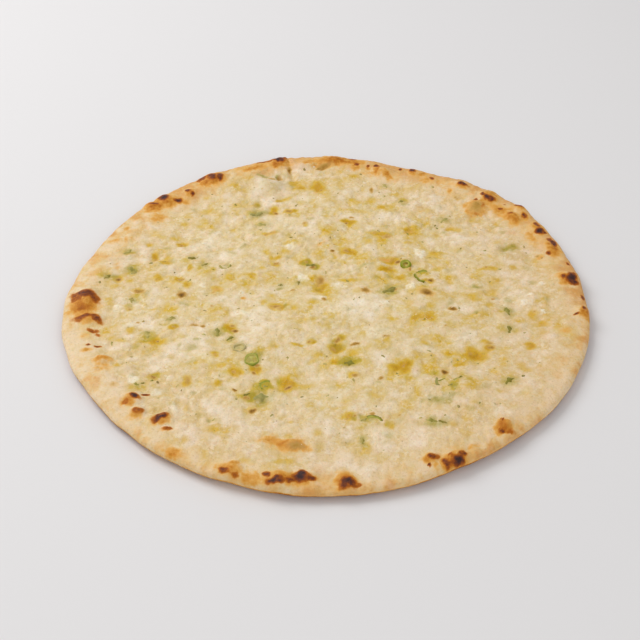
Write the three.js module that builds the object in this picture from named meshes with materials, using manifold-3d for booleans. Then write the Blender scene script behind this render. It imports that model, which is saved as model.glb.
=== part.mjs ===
// Garlic and herb naan: one round flatbread. It was pressed out from a ball of dough, topped to within a finger of
// the edge with cheese and chopped garlic that melted into one lumpy layer, strewn with spring onion and herbs, and
// baked until the bare rim blistered.
// Units are millimetres and +Z is up. The bread lies on the plane z = 0, with its middle over the origin.

import * as THREE from "three";
import { mergeVertices } from "three/addons/utils/BufferGeometryUtils.js";
import Module from "manifold-3d";

// ---- Driving dimensions -------------------------------------------------------------------------------------------

const DIAMETER = 266.2; // mean width of the round
const BODY = 6.2; // thickness of the topped middle
const RIM_RISE = 1.3; // how far the bare rim stands above the middle
const RIM_INSET = 10; // from the outline in to the crown of the rim
const RIM_SPREAD = 8; // how gently the rim fades to each side of its crown
const EDGE_RUN = 4.5; // from the outline in to where the edge starts to roll over
const EDGE_LIFT = 1.2; // how far the underside of the edge is off the table
const LIFT_WIDTH = 16; // the stretch at the edge over which the underside lifts
const FLAT_SPOT = 25; // radius of the middle of the underside that is left quite flat

// The outline's slow waves: [lobes round the bread, height, degrees to the first lobe].
const OUTLINE_WAVES = [
  [2, 1.6, 39],
  [3, 0.3, 65],
  [4, 0.5, 52],
  [5, 0.8, -154],
  [6, 0.3, -175],
  [7, 0.6, -94],
  [8, 0.3, 6],
];
const EDGE_RIPPLE = 0.9; // full range of the small unevenness of the outline
const RIPPLE_LENGTH = 13; // along the edge

// Long, slow waves of the whole top: [height, wavelength, heading in degrees, phase in degrees].
const TOP_WAVES = [
  [0.45, 118, 25, 40],
  [0.35, 74, 110, 200],
  [0.3, 51, -35, 90],
];

// Lumps of the melted topping: [full range, wavelength].
const LUMPS = [
  [1.5, 11],
  [0.9, 6],
];
const PITS = [1.1, 14]; // shallow hollows in the underside: [full range, wavelength]

// Blisters that rose in the oven: [x, y, length, width, degrees that the length is turned].
const BLISTERS = [
  // the left side
  [-124, -3, 22, 17, 85],
  [-119, -18, 18, 11, -12],
  [-109, -48, 15, 9, 0],
  [-92, -75, 16, 11, -38],
  [-89, -84, 11, 9, 0],
  [-77, -88, 17, 11, 20],
  // the near side
  [-70, -112, 15, 9, -35],
  [-43, -120, 16, 9, -20],
  [-22, -125, 17, 10, -5],
  [-9, -124, 14, 10, 10],
  [8, -126, 13, 12, 0],
  [-17, -105, 17, 10, -12],
  [46, -113, 12, 9, 15],
  [57, -113, 16, 11, 20],
  [81, -94, 15, 11, 65],
  // the right side
  [129, -12, 14, 9, 80],
  [126, 15, 15, 14, 0],
  [120, 42, 18, 11, 110],
  [115, 58, 16, 10, 110],
  [108, 76, 15, 9, 125],
  [103, 69, 14, 12, 100],
  // the far side
  [92, 88, 16, 14, 120],
  [84, 79, 18, 16, 110],
  [77, 100, 14, 10, -30],
  [51, 114, 12, 8, -20],
  [33, 116, 17, 11, -20],
  [2.5, 126.5, 25, 8.5, 0],
  [-12, 121, 16, 9, 5],
  [-33, 101, 25, 22, 0],
  [-65, 107, 22, 11, 25],
  [-79, 93, 11, 9, 0],
  [-91, 87, 15, 13, 60],
  [-98, 81, 14, 8, 15],
];
const BLISTER_RISE = 0.15; // height over mean width

// The dough was pinched at one place of the far rim: it climbs along the rim to a peak that drops off steeply, and a
// crease runs in from the edge beside the drop. `fall` is the length of the steep end.
const PINCH = { x: -23.8, y: 125.6, length: 54, fall: 1.3, width: 13, turn: 17, rise: 1.1 };
const CREASE = { x: -20.5, y: 115, length: 30, width: 7, turn: -80, rise: -2.2 };

// Hollows in which the oil gathers: [x, y, length, width].
const HOLLOWS = [
  [35, -53, 13, 12],
  [5, -40, 12, 9],
  [11, -51, 16, 8],
  [34, 30, 16, 11],
  [74, -45, 14, 14],
  [-4, 11, 10, 17],
  [-6, 99, 9, 11],
  [-28, 75, 12, 10],
  [98, 41, 14, 10],
  [-22, -64, 11, 14],
  [-66, -61, 12, 11],
  [-91, 33, 14, 10],
  [-109, 13, 10, 8],
  [-30, -76, 14, 10],
  [108, -18, 12, 12],
  [46, 57, 13, 9],
];
const HOLLOW_DEPTH = 0.09; // depth over mean width

// Whole slices of spring onion: [x, y, diameter].
const RINGS = [
  [41.9, 28, 5.8],
  [-37.2, -47.6, 8.2],
  [-43.8, -38.6, 6.3],
];
const RING_WALL = 1.5;

// Curls of cut onion green: [x and y of one end, x and y of the other, width, how far the curl bows out to the right
// between them].
const CURLS = [
  [53, 23.6, 45.4, 19.8, 2, 0.7],
  [46.6, 20.2, 50.9, 12.1, 1.4, 1],
  [-28, -61.8, -32.5, -63.9, 1.7, 0.5],
  [-32.3, -63.7, -31.4, -67.3, 1.5, 0.4],
  [52.6, -60, 52.2, -65.3, 2, 0.4],
  [56.4, -60.4, 53.2, -62.3, 1.3, 0.3],
  [64.8, -59.3, 60.2, -62.8, 1.4, 0.5],
  [24.9, -89.7, 18.2, -87.3, 2.2, 1.6],
  [-57.1, 26.5, -51.7, 27.5, 1.4, 2.3],
];
const ONION_HEIGHT = 2;
const RING_SEGMENTS = 10;
const CURL_SEGMENTS = 2;

// Bits of chopped leaf: [x, y, length, turn].
const LEAVES = [
  [-31.5, -73, 9, 10],
  [47.8, -90, 6, 0],
  [53, -91.2, 4.6, -52],
  [92.5, -9.5, 6.5, 80],
  [91.5, -24, 6, 60],
  [87.5, -62.5, 6.5, 30],
  [-103.5, 22.5, 6, 0],
  [-55.5, -26.5, 6, 70],
  [-115.5, 15.5, 5, 30],
  [-107.5, 38, 6, 25],
  [-79.5, -17.5, 6, 0],
  [-90.5, -29.5, 6, -50],
  [-8.5, 27.5, 6, -20],
  [-14.8, 12.5, 4, 60],
  [32.5, 6.5, 9, 10],
  [10.5, -50, 6, -15],
  [-36.5, 62.5, 6, 0],
  [-39.4, 73.8, 8, -5],
  [-48.5, -31, 5, 20],
  [15.5, -101.5, 5, 70],
  [-100.5, -2, 5, 80],
  [-38.5, -72, 3.6, 50],
  [16.5, -88.5, 3.4, 0],
  [65.5, 68.5, 6, 15],
  [42.5, 86.5, 4.5, 20],
  [33.5, 102, 4.5, -30],
  [-65.5, 28.5, 4.5, 10],
  [-72.5, 33, 4.5, -15],
];
const LEAF_SLENDER = 0.55; // width over length
const LEAF_HEIGHT = 1.7;

// The ball of dough: how much of its skin becomes the top, the rolled edge and the underside, and how fine it is.
const TOP_SHARE = 0.73;
const EDGE_SHARE = 0.11;
const BALL_DETAIL = 20;

const CRUST = { color: 0xe3c894, roughness: 0.62, metalness: 0 };

// ---- Small mathematics --------------------------------------------------------------------------------------------

const radians = THREE.MathUtils.degToRad;
const { lerp, smoothstep } = THREE.MathUtils;

// A number from 0 to 1 that belongs to one point of a whole-number grid.
function chance(i, j, seed) {
  let h = Math.imul(i, 374761393) ^ Math.imul(j, 668265263) ^ Math.imul(seed, 974634777);
  h = Math.imul(h ^ (h >>> 13), 1274126177);
  return ((h ^ (h >>> 16)) >>> 0) / 2 ** 32;
}

// Smooth random lumps from -0.5 to 0.5, about `wavelength` apart.
function lumps(x, y, wavelength, seed) {
  const u = x / wavelength;
  const v = y / wavelength;
  const i = Math.floor(u);
  const j = Math.floor(v);
  const a = smoothstep(u - i, 0, 1);
  const b = smoothstep(v - j, 0, 1);
  const near = lerp(chance(i, j, seed), chance(i + 1, j, seed), a);
  const far = lerp(chance(i, j + 1, seed), chance(i + 1, j + 1, seed), a);
  return lerp(near, far, b) - 0.5;
}

// A smooth mound that is 1 over its middle and 0 from its oval outline on. A mound with a `fall` ends that far beyond
// its middle, instead of half its length.
function mound(x, y, { x: cx, y: cy, length, width, turn = 0, fall = length / 2 }) {
  const cosine = Math.cos(radians(turn));
  const sine = Math.sin(radians(turn));
  const forward = (x - cx) * cosine + (y - cy) * sine;
  const along = forward / (forward > 0 ? fall : length / 2);
  const across = ((y - cy) * cosine - (x - cx) * sine) / (width / 2);
  return Math.max(0, 1 - along * along - across * across) ** 2;
}

// ---- The form of the bread ----------------------------------------------------------------------------------------

// Distance from the middle to the outline, in the direction of an angle.
function outline(angle) {
  let radius = DIAMETER / 2;
  for (const [lobes, height, first] of OUTLINE_WAVES) {
    radius += height * Math.cos(lobes * angle - radians(first));
  }
  const x = radius * Math.cos(angle);
  const y = radius * Math.sin(angle);
  return radius + EDGE_RIPPLE * lumps(x, y, RIPPLE_LENGTH, 1);
}

// Height of the top over a point that is `inset` in from the outline.
function top(x, y, inset) {
  let z = BODY + RIM_RISE * Math.exp(-(((inset - RIM_INSET) / RIM_SPREAD) ** 2));
  for (const [height, wavelength, heading, phase] of TOP_WAVES) {
    const distance = x * Math.cos(radians(heading)) + y * Math.sin(radians(heading));
    z += height * Math.sin((2 * Math.PI * distance) / wavelength + radians(phase));
  }
  const topping = smoothstep(inset, RIM_INSET, 2.4 * RIM_INSET);
  LUMPS.forEach(([range, wavelength], layer) => {
    z += range * lerp(0.5, 1, topping) * lumps(x, y, wavelength, 2 + layer);
  });
  for (const [cx, cy, length, width, turn] of BLISTERS) {
    const rise = (BLISTER_RISE * (length + width)) / 2;
    z += rise * mound(x, y, { x: cx, y: cy, length, width, turn });
  }
  for (const [cx, cy, length, width] of HOLLOWS) {
    z -= ((HOLLOW_DEPTH * (length + width)) / 2) * mound(x, y, { x: cx, y: cy, length, width });
  }
  for (const fold of [PINCH, CREASE]) {
    z += fold.rise * mound(x, y, fold);
  }
  return z;
}

// Height of the underside: flat where the bread rests, with shallow pits, and lifting at the edge.
function underside(x, y, inset) {
  const lift = EDGE_LIFT * smoothstep(-inset, -LIFT_WIDTH, 0);
  const pitted = smoothstep(Math.hypot(x, y), FLAT_SPOT, 2 * FLAT_SPOT);
  return lift + PITS[0] * pitted * Math.max(0, lumps(x, y, PITS[1], 8));
}

// Moves one point of the unit ball to where it lies once the ball is pressed out.
function press(point) {
  const angle = Math.atan2(point.y, point.x);
  const radius = outline(angle);
  const flat = radius - EDGE_RUN; // where the edge starts to roll
  const share = (1 - point.z) / 2; // 0 at the top of the ball, 1 at its foot
  const at = (r) => [r * Math.cos(angle), r * Math.sin(angle)];
  if (share < TOP_SHARE) {
    const r = flat * Math.sqrt(share / TOP_SHARE);
    return point.set(...at(r), top(...at(r), radius - r));
  }
  if (share > TOP_SHARE + EDGE_SHARE) {
    const r = flat * Math.sqrt((1 - share) / (1 - TOP_SHARE - EDGE_SHARE));
    return point.set(...at(r), underside(...at(r), radius - r));
  }
  const roll = (Math.PI * (share - TOP_SHARE)) / EDGE_SHARE; // 0 on the top side, pi on the under side
  const high = top(...at(flat), EDGE_RUN);
  const low = underside(...at(flat), EDGE_RUN);
  const z = (high + low) / 2 + ((high - low) / 2) * Math.cos(roll);
  return point.set(...at(flat + EDGE_RUN * Math.sin(roll)), z);
}

// ---- Meshes -------------------------------------------------------------------------------------------------------

// The geometry with its shared corners merged, so that its faces close up.
function closed(geometry) {
  geometry.deleteAttribute("normal");
  geometry.deleteAttribute("uv");
  return mergeVertices(geometry, 1e-4);
}

function doughGeometry() {
  const geometry = closed(new THREE.IcosahedronGeometry(1, BALL_DETAIL));
  const position = geometry.getAttribute("position");
  const point = new THREE.Vector3();
  for (let i = 0; i < position.count; i++) {
    press(point.fromBufferAttribute(position, i));
    position.setXYZ(i, point.x, point.y, point.z);
  }
  return geometry;
}

// A whole slice of spring onion, standing on z = 0.
function ringGeometry(diameter) {
  const shape = new THREE.Shape().absarc(0, 0, diameter / 2, 0, 2 * Math.PI);
  shape.holes.push(new THREE.Path().absarc(0, 0, diameter / 2 - RING_WALL, 0, 2 * Math.PI, true));
  return new THREE.ExtrudeGeometry(shape, {
    depth: ONION_HEIGHT,
    bevelEnabled: false,
    curveSegments: RING_SEGMENTS,
  });
}

// A curl that bows out between two points, standing on z = 0. It is a part of a ring.
function curlGeometry(x1, y1, x2, y2, width, bow) {
  const half = Math.hypot(x2 - x1, y2 - y1) / 2;
  const radius = (half ** 2 + bow ** 2) / (2 * bow);
  const off = (radius - bow) / (2 * half); // the ring's middle lies this share of the curl's length to its left
  const x = (x1 + x2) / 2 - off * (y2 - y1);
  const y = (y1 + y2) / 2 + off * (x2 - x1);
  const start = Math.atan2(y1 - y, x1 - x);
  const end = start + 2 * Math.atan2(half, radius - bow);
  const shape = new THREE.Shape().absarc(x, y, radius + width / 2, start, end);
  shape.absarc(x, y, radius - width / 2, end, start, true);
  return new THREE.ExtrudeGeometry(shape, {
    depth: ONION_HEIGHT,
    bevelEnabled: false,
    curveSegments: CURL_SEGMENTS,
  });
}

// A bit of leaf with two pointed ends, standing on z = 0.
function leafGeometry(length) {
  const half = length / 2;
  const belly = length * LEAF_SLENDER;
  const shape = new THREE.Shape();
  shape.moveTo(-half, 0);
  shape.quadraticCurveTo(0, -belly, half, 0);
  shape.quadraticCurveTo(0, belly, -half, 0);
  return new THREE.ExtrudeGeometry(shape, { depth: LEAF_HEIGHT, bevelEnabled: false, curveSegments: 3 });
}

// Lifts a topping that stands on z = 0 onto the top at a point, set into it by half its height.
function settle(geometry, x, y, height) {
  const inset = outline(Math.atan2(y, x)) - Math.hypot(x, y);
  return geometry.translate(0, 0, top(x, y, inset) - height / 2);
}

function toppings() {
  const rings = RINGS.map(([x, y, diameter]) =>
    settle(ringGeometry(diameter).translate(x, y, 0), x, y, ONION_HEIGHT),
  );
  const curls = CURLS.map(([x1, y1, x2, y2, width, bow]) =>
    settle(curlGeometry(x1, y1, x2, y2, width, bow), (x1 + x2) / 2, (y1 + y2) / 2, ONION_HEIGHT),
  );
  const leaves = LEAVES.map(([x, y, length, turn]) =>
    settle(leafGeometry(length).rotateZ(radians(turn)).translate(x, y, 0), x, y, LEAF_HEIGHT),
  );
  return [...rings, ...curls, ...leaves];
}

// ---- Assembly -----------------------------------------------------------------------------------------------------

const wasm = await Module();
wasm.setup();

function toSolid(geometry) {
  const merged = closed(geometry);
  return new wasm.Manifold(
    new wasm.Mesh({
      numProp: 3,
      vertProperties: new Float32Array(merged.getAttribute("position").array),
      triVerts: new Uint32Array(merged.index.array),
    }),
  );
}

function toGeometry(solid) {
  const { vertProperties, triVerts } = solid.getMesh();
  const geometry = new THREE.BufferGeometry();
  geometry.setAttribute("position", new THREE.BufferAttribute(vertProperties, 3));
  geometry.setIndex(new THREE.BufferAttribute(triVerts, 1));
  geometry.computeVertexNormals();
  return geometry;
}

const fused = toppings().reduce((bread, topping) => bread.add(toSolid(topping)), toSolid(doughGeometry()));
const naan = new THREE.Mesh(toGeometry(fused), new THREE.MeshStandardMaterial(CRUST));
naan.name = "naan";

// The waves of the outline leave the round slightly off the origin, so it is centred last.
naan.geometry.computeBoundingBox();
const middle = naan.geometry.boundingBox.getCenter(new THREE.Vector3());
naan.geometry.translate(-middle.x, -middle.y, 0);

const group = new THREE.Group();
group.add(naan);

export default group;
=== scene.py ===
"""Garlic and herb naan: the looks of one round flatbread.

The dough was pressed out by hand and topped to within a finger of its edge with cheese and chopped garlic,
which melted into one lumpy layer. Spring onion and herbs lie in it, oil has gathered between its crumbs, and
the bare rim blistered and scorched in the oven.

Lengths are millimetres, as a baker would give them, and become metres where a mesh is made. A layer of
random lumps is given by its full range, its wavelength and its seed.
"""

import logging
import math
from dataclasses import dataclass, field
from enum import Enum

import bmesh
import bpy
import numpy as np
from mathutils import Matrix, Vector


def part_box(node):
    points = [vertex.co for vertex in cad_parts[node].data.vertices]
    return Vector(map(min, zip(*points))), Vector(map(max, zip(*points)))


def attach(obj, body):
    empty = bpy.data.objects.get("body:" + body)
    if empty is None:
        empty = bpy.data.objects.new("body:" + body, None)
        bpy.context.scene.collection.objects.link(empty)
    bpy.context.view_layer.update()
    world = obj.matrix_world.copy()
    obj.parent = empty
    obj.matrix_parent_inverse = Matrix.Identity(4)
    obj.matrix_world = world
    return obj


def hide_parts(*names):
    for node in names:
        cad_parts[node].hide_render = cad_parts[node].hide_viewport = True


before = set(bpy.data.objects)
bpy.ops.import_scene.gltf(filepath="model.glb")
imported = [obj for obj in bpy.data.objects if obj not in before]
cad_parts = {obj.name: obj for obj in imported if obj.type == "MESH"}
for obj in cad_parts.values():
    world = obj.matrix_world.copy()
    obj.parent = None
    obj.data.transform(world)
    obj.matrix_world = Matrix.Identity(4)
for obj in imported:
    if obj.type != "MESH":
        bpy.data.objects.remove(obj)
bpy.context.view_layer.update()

MM = 0.001
NODE = "naan"
BODY = "root"

# A full turn in radians, near enough for a random direction.
FULL_TURN = 6.28

# Large odd numbers that stir the bits of a grid point, so that its neighbours get quite other numbers.
STIR_ACROSS = 374761393
STIR_BACK = 668265263
STIR_SEED = 974634777
STIR_AGAIN = 1274126177
LOW_BITS = 0xFFFFFFFF

Layer = tuple[float, float, int]
Point = tuple[float, float, float]
Colour = tuple[float, float, float, float]
Stops = tuple[tuple[float, Colour], ...]
Paint = bpy.types.NodeSocket | Colour

log = logging.getLogger("naan")


# ---- Small mathematics ----


def smoothstep(value: np.ndarray, low: float, high: float) -> np.ndarray:
    """Eases from 0 at low to 1 at high. Low may be the larger of the two."""
    part = np.clip((value - low) / (high - low), 0.0, 1.0)
    return part * part * (3.0 - 2.0 * part)


def chance(i: np.ndarray, j: np.ndarray, seed: int) -> np.ndarray:
    """Gives each point of a whole-number grid a number of its own.

    Args:
        i: First whole numbers of the points.
        j: Second whole numbers of the points.
        seed: Which of many such sets of numbers to give.

    Returns:
        Numbers from 0 to 1, the same on each run.
    """
    across = (i.astype(np.int64) * STIR_ACROSS) & LOW_BITS
    back = (j.astype(np.int64) * STIR_BACK) & LOW_BITS
    mixed = across ^ back ^ ((seed * STIR_SEED) & LOW_BITS)
    mixed = ((mixed ^ (mixed >> 13)) * STIR_AGAIN) & LOW_BITS
    return (mixed ^ (mixed >> 16)) / 2.0**32


def lumps(x: np.ndarray, y: np.ndarray, wavelength: float, seed: int) -> np.ndarray:
    """Makes smooth random lumps.

    Args:
        x: Points, to the right.
        y: Points, to the back.
        wavelength: About how far apart the lumps are.
        seed: Which of many such surfaces to give.

    Returns:
        Heights from -0.5 to 0.5.
    """
    u, v = x / wavelength, y / wavelength
    i, j = np.floor(u), np.floor(v)
    a, b = smoothstep(u - i, 0, 1), smoothstep(v - j, 0, 1)
    near = chance(i, j, seed) * (1 - a) + chance(i + 1, j, seed) * a
    far = chance(i, j + 1, seed) * (1 - a) + chance(i + 1, j + 1, seed) * a
    return near * (1 - b) + far * b - 0.5


def layered(x: np.ndarray, y: np.ndarray, *layers: Layer) -> np.ndarray:
    """Adds up layers of random lumps, for heights round 0."""
    return sum(height * lumps(x, y, wavelength, seed) for height, wavelength, seed in layers)


def wander(x: np.ndarray, y: np.ndarray, *layers: Layer) -> tuple[np.ndarray, np.ndarray]:
    """Finds how far to shift points, to the right and to the back, so that an outline turns out ragged."""
    following = [(height, wavelength, seed + 1) for height, wavelength, seed in layers]
    return layered(x, y, *layers), layered(x, y, *following)


def crumbs(x: np.ndarray, y: np.ndarray, size: float, seed: int) -> tuple[np.ndarray, np.ndarray]:
    """Makes a surface of rounded crumbs that lie close together.

    Args:
        x: Points, to the right.
        y: Points, to the back.
        size: About how wide one crumb is.
        seed: Which of many such surfaces to give.

    Returns:
        How high each point is, from 0 between the crumbs to 1 on a large crumb, and a number from 0 to 1
        that all of one crumb shares.
    """
    u, v = x / size, y / size
    i0, j0 = np.floor(u), np.floor(v)
    height = np.zeros_like(u)
    tone = np.full_like(u, 0.5)
    for di in (-1, 0, 1):
        for dj in (-1, 0, 1):
            i, j = i0 + di, j0 + dj
            away = np.hypot(u - i - chance(i, j, seed), v - j - chance(i, j, seed + 1))
            radius = 0.5 + 0.45 * chance(i, j, seed + 2)
            dome = np.maximum(0.0, 1.0 - (away / radius) ** 2) * (0.35 + 0.65 * chance(i, j, seed + 3))
            tone = np.where(dome > height, chance(i, j, seed + 4), tone)
            height = np.maximum(height, dome)
    return height, tone


@dataclass(frozen=True)
class Spot:
    """An oval place on the bread.

    Args:
        x: Middle of the oval, to the right.
        y: Middle of the oval, to the back.
        length: Its long way across.
        width: Its short way across.
        turn: Degrees that the long way is turned from the right to the back.
        strength: How much it has of what it marks.
        fall: How far it reaches beyond its middle, or 0 where that is half its length.
    """

    x: float
    y: float
    length: float
    width: float
    turn: float = 0.0
    strength: float = 1.0
    fall: float = 0.0

    def reach(self, x: np.ndarray, y: np.ndarray) -> np.ndarray:
        """How far points are from the middle.

        Args:
            x: Points, to the right.
            y: Points, to the back.

        Returns:
            Distances, where 1 is the oval's outline.
        """
        cosine, sine = math.cos(math.radians(self.turn)), math.sin(math.radians(self.turn))
        forward = (x - self.x) * cosine + (y - self.y) * sine
        along = forward / np.where(forward > 0, self.fall or self.length / 2, self.length / 2)
        across = ((y - self.y) * cosine - (x - self.x) * sine) / (self.width / 2)
        return np.hypot(along, across)

    def breadth(self) -> float:
        """Mean of the two ways across."""
        return (self.length + self.width) / 2

    def mound(self, x: np.ndarray, y: np.ndarray) -> np.ndarray:
        """A smooth mound that is 1 in the middle and 0 from the outline on."""
        return np.maximum(0.0, 1.0 - self.reach(x, y) ** 2) ** 2


def spots(rows: list[tuple[float, ...]], turned: bool = True) -> list[Spot]:
    """Reads a list of ovals.

    Args:
        rows: For each oval its x, y, length and width, and then what the rest of a Spot needs.
        turned: Whether the fifth number is the turn. Otherwise it is the strength.

    Returns:
        The ovals.
    """
    if turned:
        return [Spot(*row) for row in rows]
    return [Spot(*row[:4], 0.0, *row[4:]) for row in rows]


def mounds(x: np.ndarray, y: np.ndarray, places: list[Spot]) -> np.ndarray:
    """Adds up the mounds of ovals, each as high as its strength says."""
    return sum(place.strength * place.mound(x, y) for place in places)


def cover(
    x: np.ndarray, y: np.ndarray, places: list[Spot], ragged: np.ndarray | float, outer: float, inner: float
) -> np.ndarray:
    """Finds how far ovals cover points.

    Args:
        x: Points, to the right.
        y: Points, to the back.
        places: The ovals. The strength is the most that each covers.
        ragged: How much further out each point counts than it is.
        outer: Where cover starts, with an oval's outline at 1.
        inner: Where it is full.

    Returns:
        Cover from 0 to 1.
    """
    covered = np.zeros_like(x)
    for place in places:
        part = smoothstep(place.reach(x, y) + ragged, outer, inner)
        covered = np.maximum(covered, place.strength * part)
    return covered


# ---- Where things are on the bread ----

# Blisters that rose in the oven: x, y, length, width and turn.
BLISTERS = spots([
    (-124, -3, 22, 17, 85), (-119, -18, 18, 11, -12), (-109, -48, 15, 9, 0), (-92, -75, 16, 11, -38),
    (-89, -84, 11, 9, 0), (-77, -88, 17, 11, 20), (-70, -112, 15, 9, -35), (-43, -120, 16, 9, -20),
    (-22, -125, 17, 10, -5), (-9, -124, 14, 10, 10), (8, -126, 13, 12, 0), (-17, -105, 17, 10, -12),
    (46, -113, 12, 9, 15), (57, -113, 16, 11, 20), (81, -94, 15, 11, 65), (129, -12, 14, 9, 80),
    (126, 15, 15, 14, 0), (120, 42, 18, 11, 110), (115, 58, 16, 10, 110), (108, 76, 15, 9, 125),
    (103, 69, 14, 12, 100), (92, 88, 16, 14, 120), (84, 79, 18, 16, 110), (77, 100, 14, 10, -30),
    (51, 114, 12, 8, -20), (33, 116, 17, 11, -20), (2.5, 126.5, 25, 8.5, 0), (-12, 121, 16, 9, 5),
    (-33, 101, 25, 22, 0), (-65, 107, 22, 11, 25), (-79, 93, 11, 9, 0), (-91, 87, 15, 13, 60),
    (-98, 81, 14, 8, 15),
])

# Hollows in which the oil gathers: x, y, length and width.
HOLLOWS = spots([
    (35, -53, 13, 12), (5, -40, 12, 9), (11, -51, 16, 8), (34, 30, 16, 11), (74, -45, 14, 14),
    (-4, 11, 10, 17), (-6, 99, 9, 11), (-28, 75, 12, 10), (98, 41, 14, 10), (-22, -64, 11, 14),
    (-66, -61, 12, 11), (-91, 33, 14, 10), (-109, 13, 10, 8), (-30, -76, 14, 10), (108, -18, 12, 12),
    (46, 57, 13, 9),
])

# The dough was pinched at one place of the far rim: it climbs along the rim to a peak that drops off
# steeply, and a crease runs in from the edge beside the drop. The strength is the height.
FOLDS = [Spot(-23.8, 125.6, 54, 13, 17, 1.1, fall=1.3), Spot(-20.5, 115, 30, 7, -80, -2.2)]

# Small creases round the pinch: x, y, length, width, turn and height.
CREASES = spots([(-1, 120, 13, 4, 38, -1.8), (-33.5, 106, 11, 3.4, -20, -1.7), (-27.5, 108, 9, 4, 75, -1.8)])

# Dough that puffed up smooth, with few crumbs on it: x, y, length, width and turn.
SMOOTH = spots([(-34, 102, 36, 20, 15), (-9, 113, 22, 17, 0), (14, 116, 18, 12, 0), (84, 79, 20, 17, 110)])

# Where the dough toasted to a golden brown: x, y, length, width, turn and how brown.
TOASTED = spots([
    (-125, -9.5, 15, 17, 0, 0.7), (-120.5, -20, 14, 6, -10, 0.4), (-121.5, -30.5, 10, 6, 0, 0.25),
    (-123.5, -25.5, 8, 4, 0, 0.2), (-118.5, -41, 6, 3.6, 20, 0.5), (-109.5, -49, 11, 6, 0, 0.55),
    (-109.5, -54.5, 12, 7, 0, 0.35), (-93.5, -77.5, 11, 7, 20, 0.45), (-89.5, -86.5, 8, 7, 0, 0.45),
    (-77, -90, 13, 6, 20, 0.45), (-74.5, -96, 7.6, 4, 0, 0.35), (-69.5, -111, 12, 8, -35, 0.55),
    (-73.5, -109, 8, 6, -35, 0.3), (-44.5, -121.5, 16, 8, -20, 0.5), (-42, -118, 6, 4, 0, 0.55),
    (-34.5, -126, 14, 10, 0, 0.5), (-17.5, -126.5, 30, 8, 0, 0.58), (7.5, -126.5, 10, 11, 0, 0.66),
    (44.5, -114.5, 10, 7, 20, 0.55), (55.5, -116, 18, 10, 20, 0.66), (65.5, -106.5, 10, 4, 30, 0.35),
    (80.3, -95.6, 8.8, 11.2, -20, 0.76), (131.5, -13, 7, 12, -10, 0.65), (128.5, -14.5, 6, 3, 0, 0.5),
    (119.5, -26.5, 10, 8, 0, 0.3), (123.5, -20, 8, 6, 0, 0.2), (124.5, 13, 9, 9, 0, 0.55),
    (122, 16.5, 5.2, 3.2, 10, 0.35), (121.5, 40, 10, 14, 15, 0.68), (114.5, 33.5, 5, 7, 0, 0.35),
    (116.5, 57.5, 8, 14, 10, 0.66), (110, 69.6, 6.8, 7, 0, 0.62), (108.5, 76.5, 8, 6, -40, 0.6),
    (103.5, 67.5, 10, 14, 20, 0.62), (98, 76, 18, 12, -40, 0.45), (112, 50, 10, 18, 15, 0.36),
    (92.5, 86, 12, 14, -20, 0.66), (83.8, 77.8, 14, 15, -20, 0.6), (88, 82, 6, 8, -20, 0.5),
    (78.5, 98.5, 9, 8, 0, 0.6), (70.5, 94.5, 3.6, 5.2, 0, 0.5), (57.5, 106, 10, 6, 0, 0.45),
    (56.5, 113, 8, 7, 0, 0.55), (50.5, 114, 5, 8, 0, 0.55), (35.5, 112, 5.2, 10, 20, 0.66),
    (29.5, 116.5, 4.8, 10, 0, 0.6), (24.5, 118.5, 4, 6, 0, 0.5), (16.5, 120, 6, 8, 0, 0.5),
    (6, 126, 24, 10, 0, 0.72), (16, 125, 14, 8, -10, 0.62), (-6.5, 124, 20, 10, 0, 0.42),
    (-2, 120.8, 13, 5.6, 15, 0.64), (-12, 122.3, 6, 3.2, -10, 0.66), (-28, 121.8, 12, 7.2, 17, 0.9),
    (-42, 117.5, 28, 8.8, 18, 0.48), (-66.5, 104.5, 20, 10, 25, 0.74), (-78.5, 92.5, 6, 8, 0, 0.6),
    (-91.5, 86, 12, 13, 0, 0.7), (-84.5, 85.5, 9, 9.2, 0, 0.68), (-97.5, 79.8, 15, 10, 10, 0.68),
    (-89, 82, 16, 8, 20, 0.42), (-110.5, 59.5, 3.6, 5.2, 0, 0.45), (-109.5, 49, 2.8, 8, 0, 0.4),
    (-16, -105.5, 17, 10.8, -9, 0.42), (-14.6, -106.4, 12, 6.6, -9, 0.84),
    (-26, -102.6, 15, 8.8, -10, 0.42), (-20.5, -104.2, 18, 8, -9, 0.5), (-102.5, -66.3, 5.6, 4.8, 0, 0.3),
    (-28, -101, 12, 7, -15, 0.26), (-94.5, 73, 16, 18, 0, 0.25), (-116, 47.5, 10, 8, 0, 0.32),
    (-95, 70, 12, 10, 20, 0.4), (-79.9, 85.4, 8, 8, 0, 0.4), (-67.1, 98.6, 12, 6, 20, 0.3),
    (-122.5, 32, 6, 6, 0, 0.3), (100, 74, 26, 16, -45, 0.26), (114, 52, 16, 26, 20, 0.24),
    (122, 34, 12, 24, 15, 0.22), (62, 106, 32, 10, -25, 0.25), (30, 114, 30, 10, -10, 0.3),
    (-3.6, 45.2, 11, 4.6, 51, 0.3), (31.5, 32, 9, 2.6, 0, 0.35), (53.3, 76.7, 6.8, 3.6, 0, 0.22),
    (34.3, 51.8, 5.2, 3.6, 0, 0.28), (-59.8, 30.7, 5.6, 5.6, 0, 0.15), (-37.9, 11, 4.8, 3.6, 0, 0.18),
    (-40.8, 26.9, 3.2, 4.4, 0, 0.16), (-111.9, 24.4, 5.2, 10, 0, 0.25), (-43.9, 0.8, 3.4, 2.6, 0, 0.5),
    (52, 3.4, 10.4, 8.4, -20, 0.34), (19.8, 4.8, 8.4, 6.4, 0, 0.3), (-57.7, 7.8, 7.2, 6, 0, 0.2),
    (46, 57.6, 7.2, 2.8, 0, 0.2),
])

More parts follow.
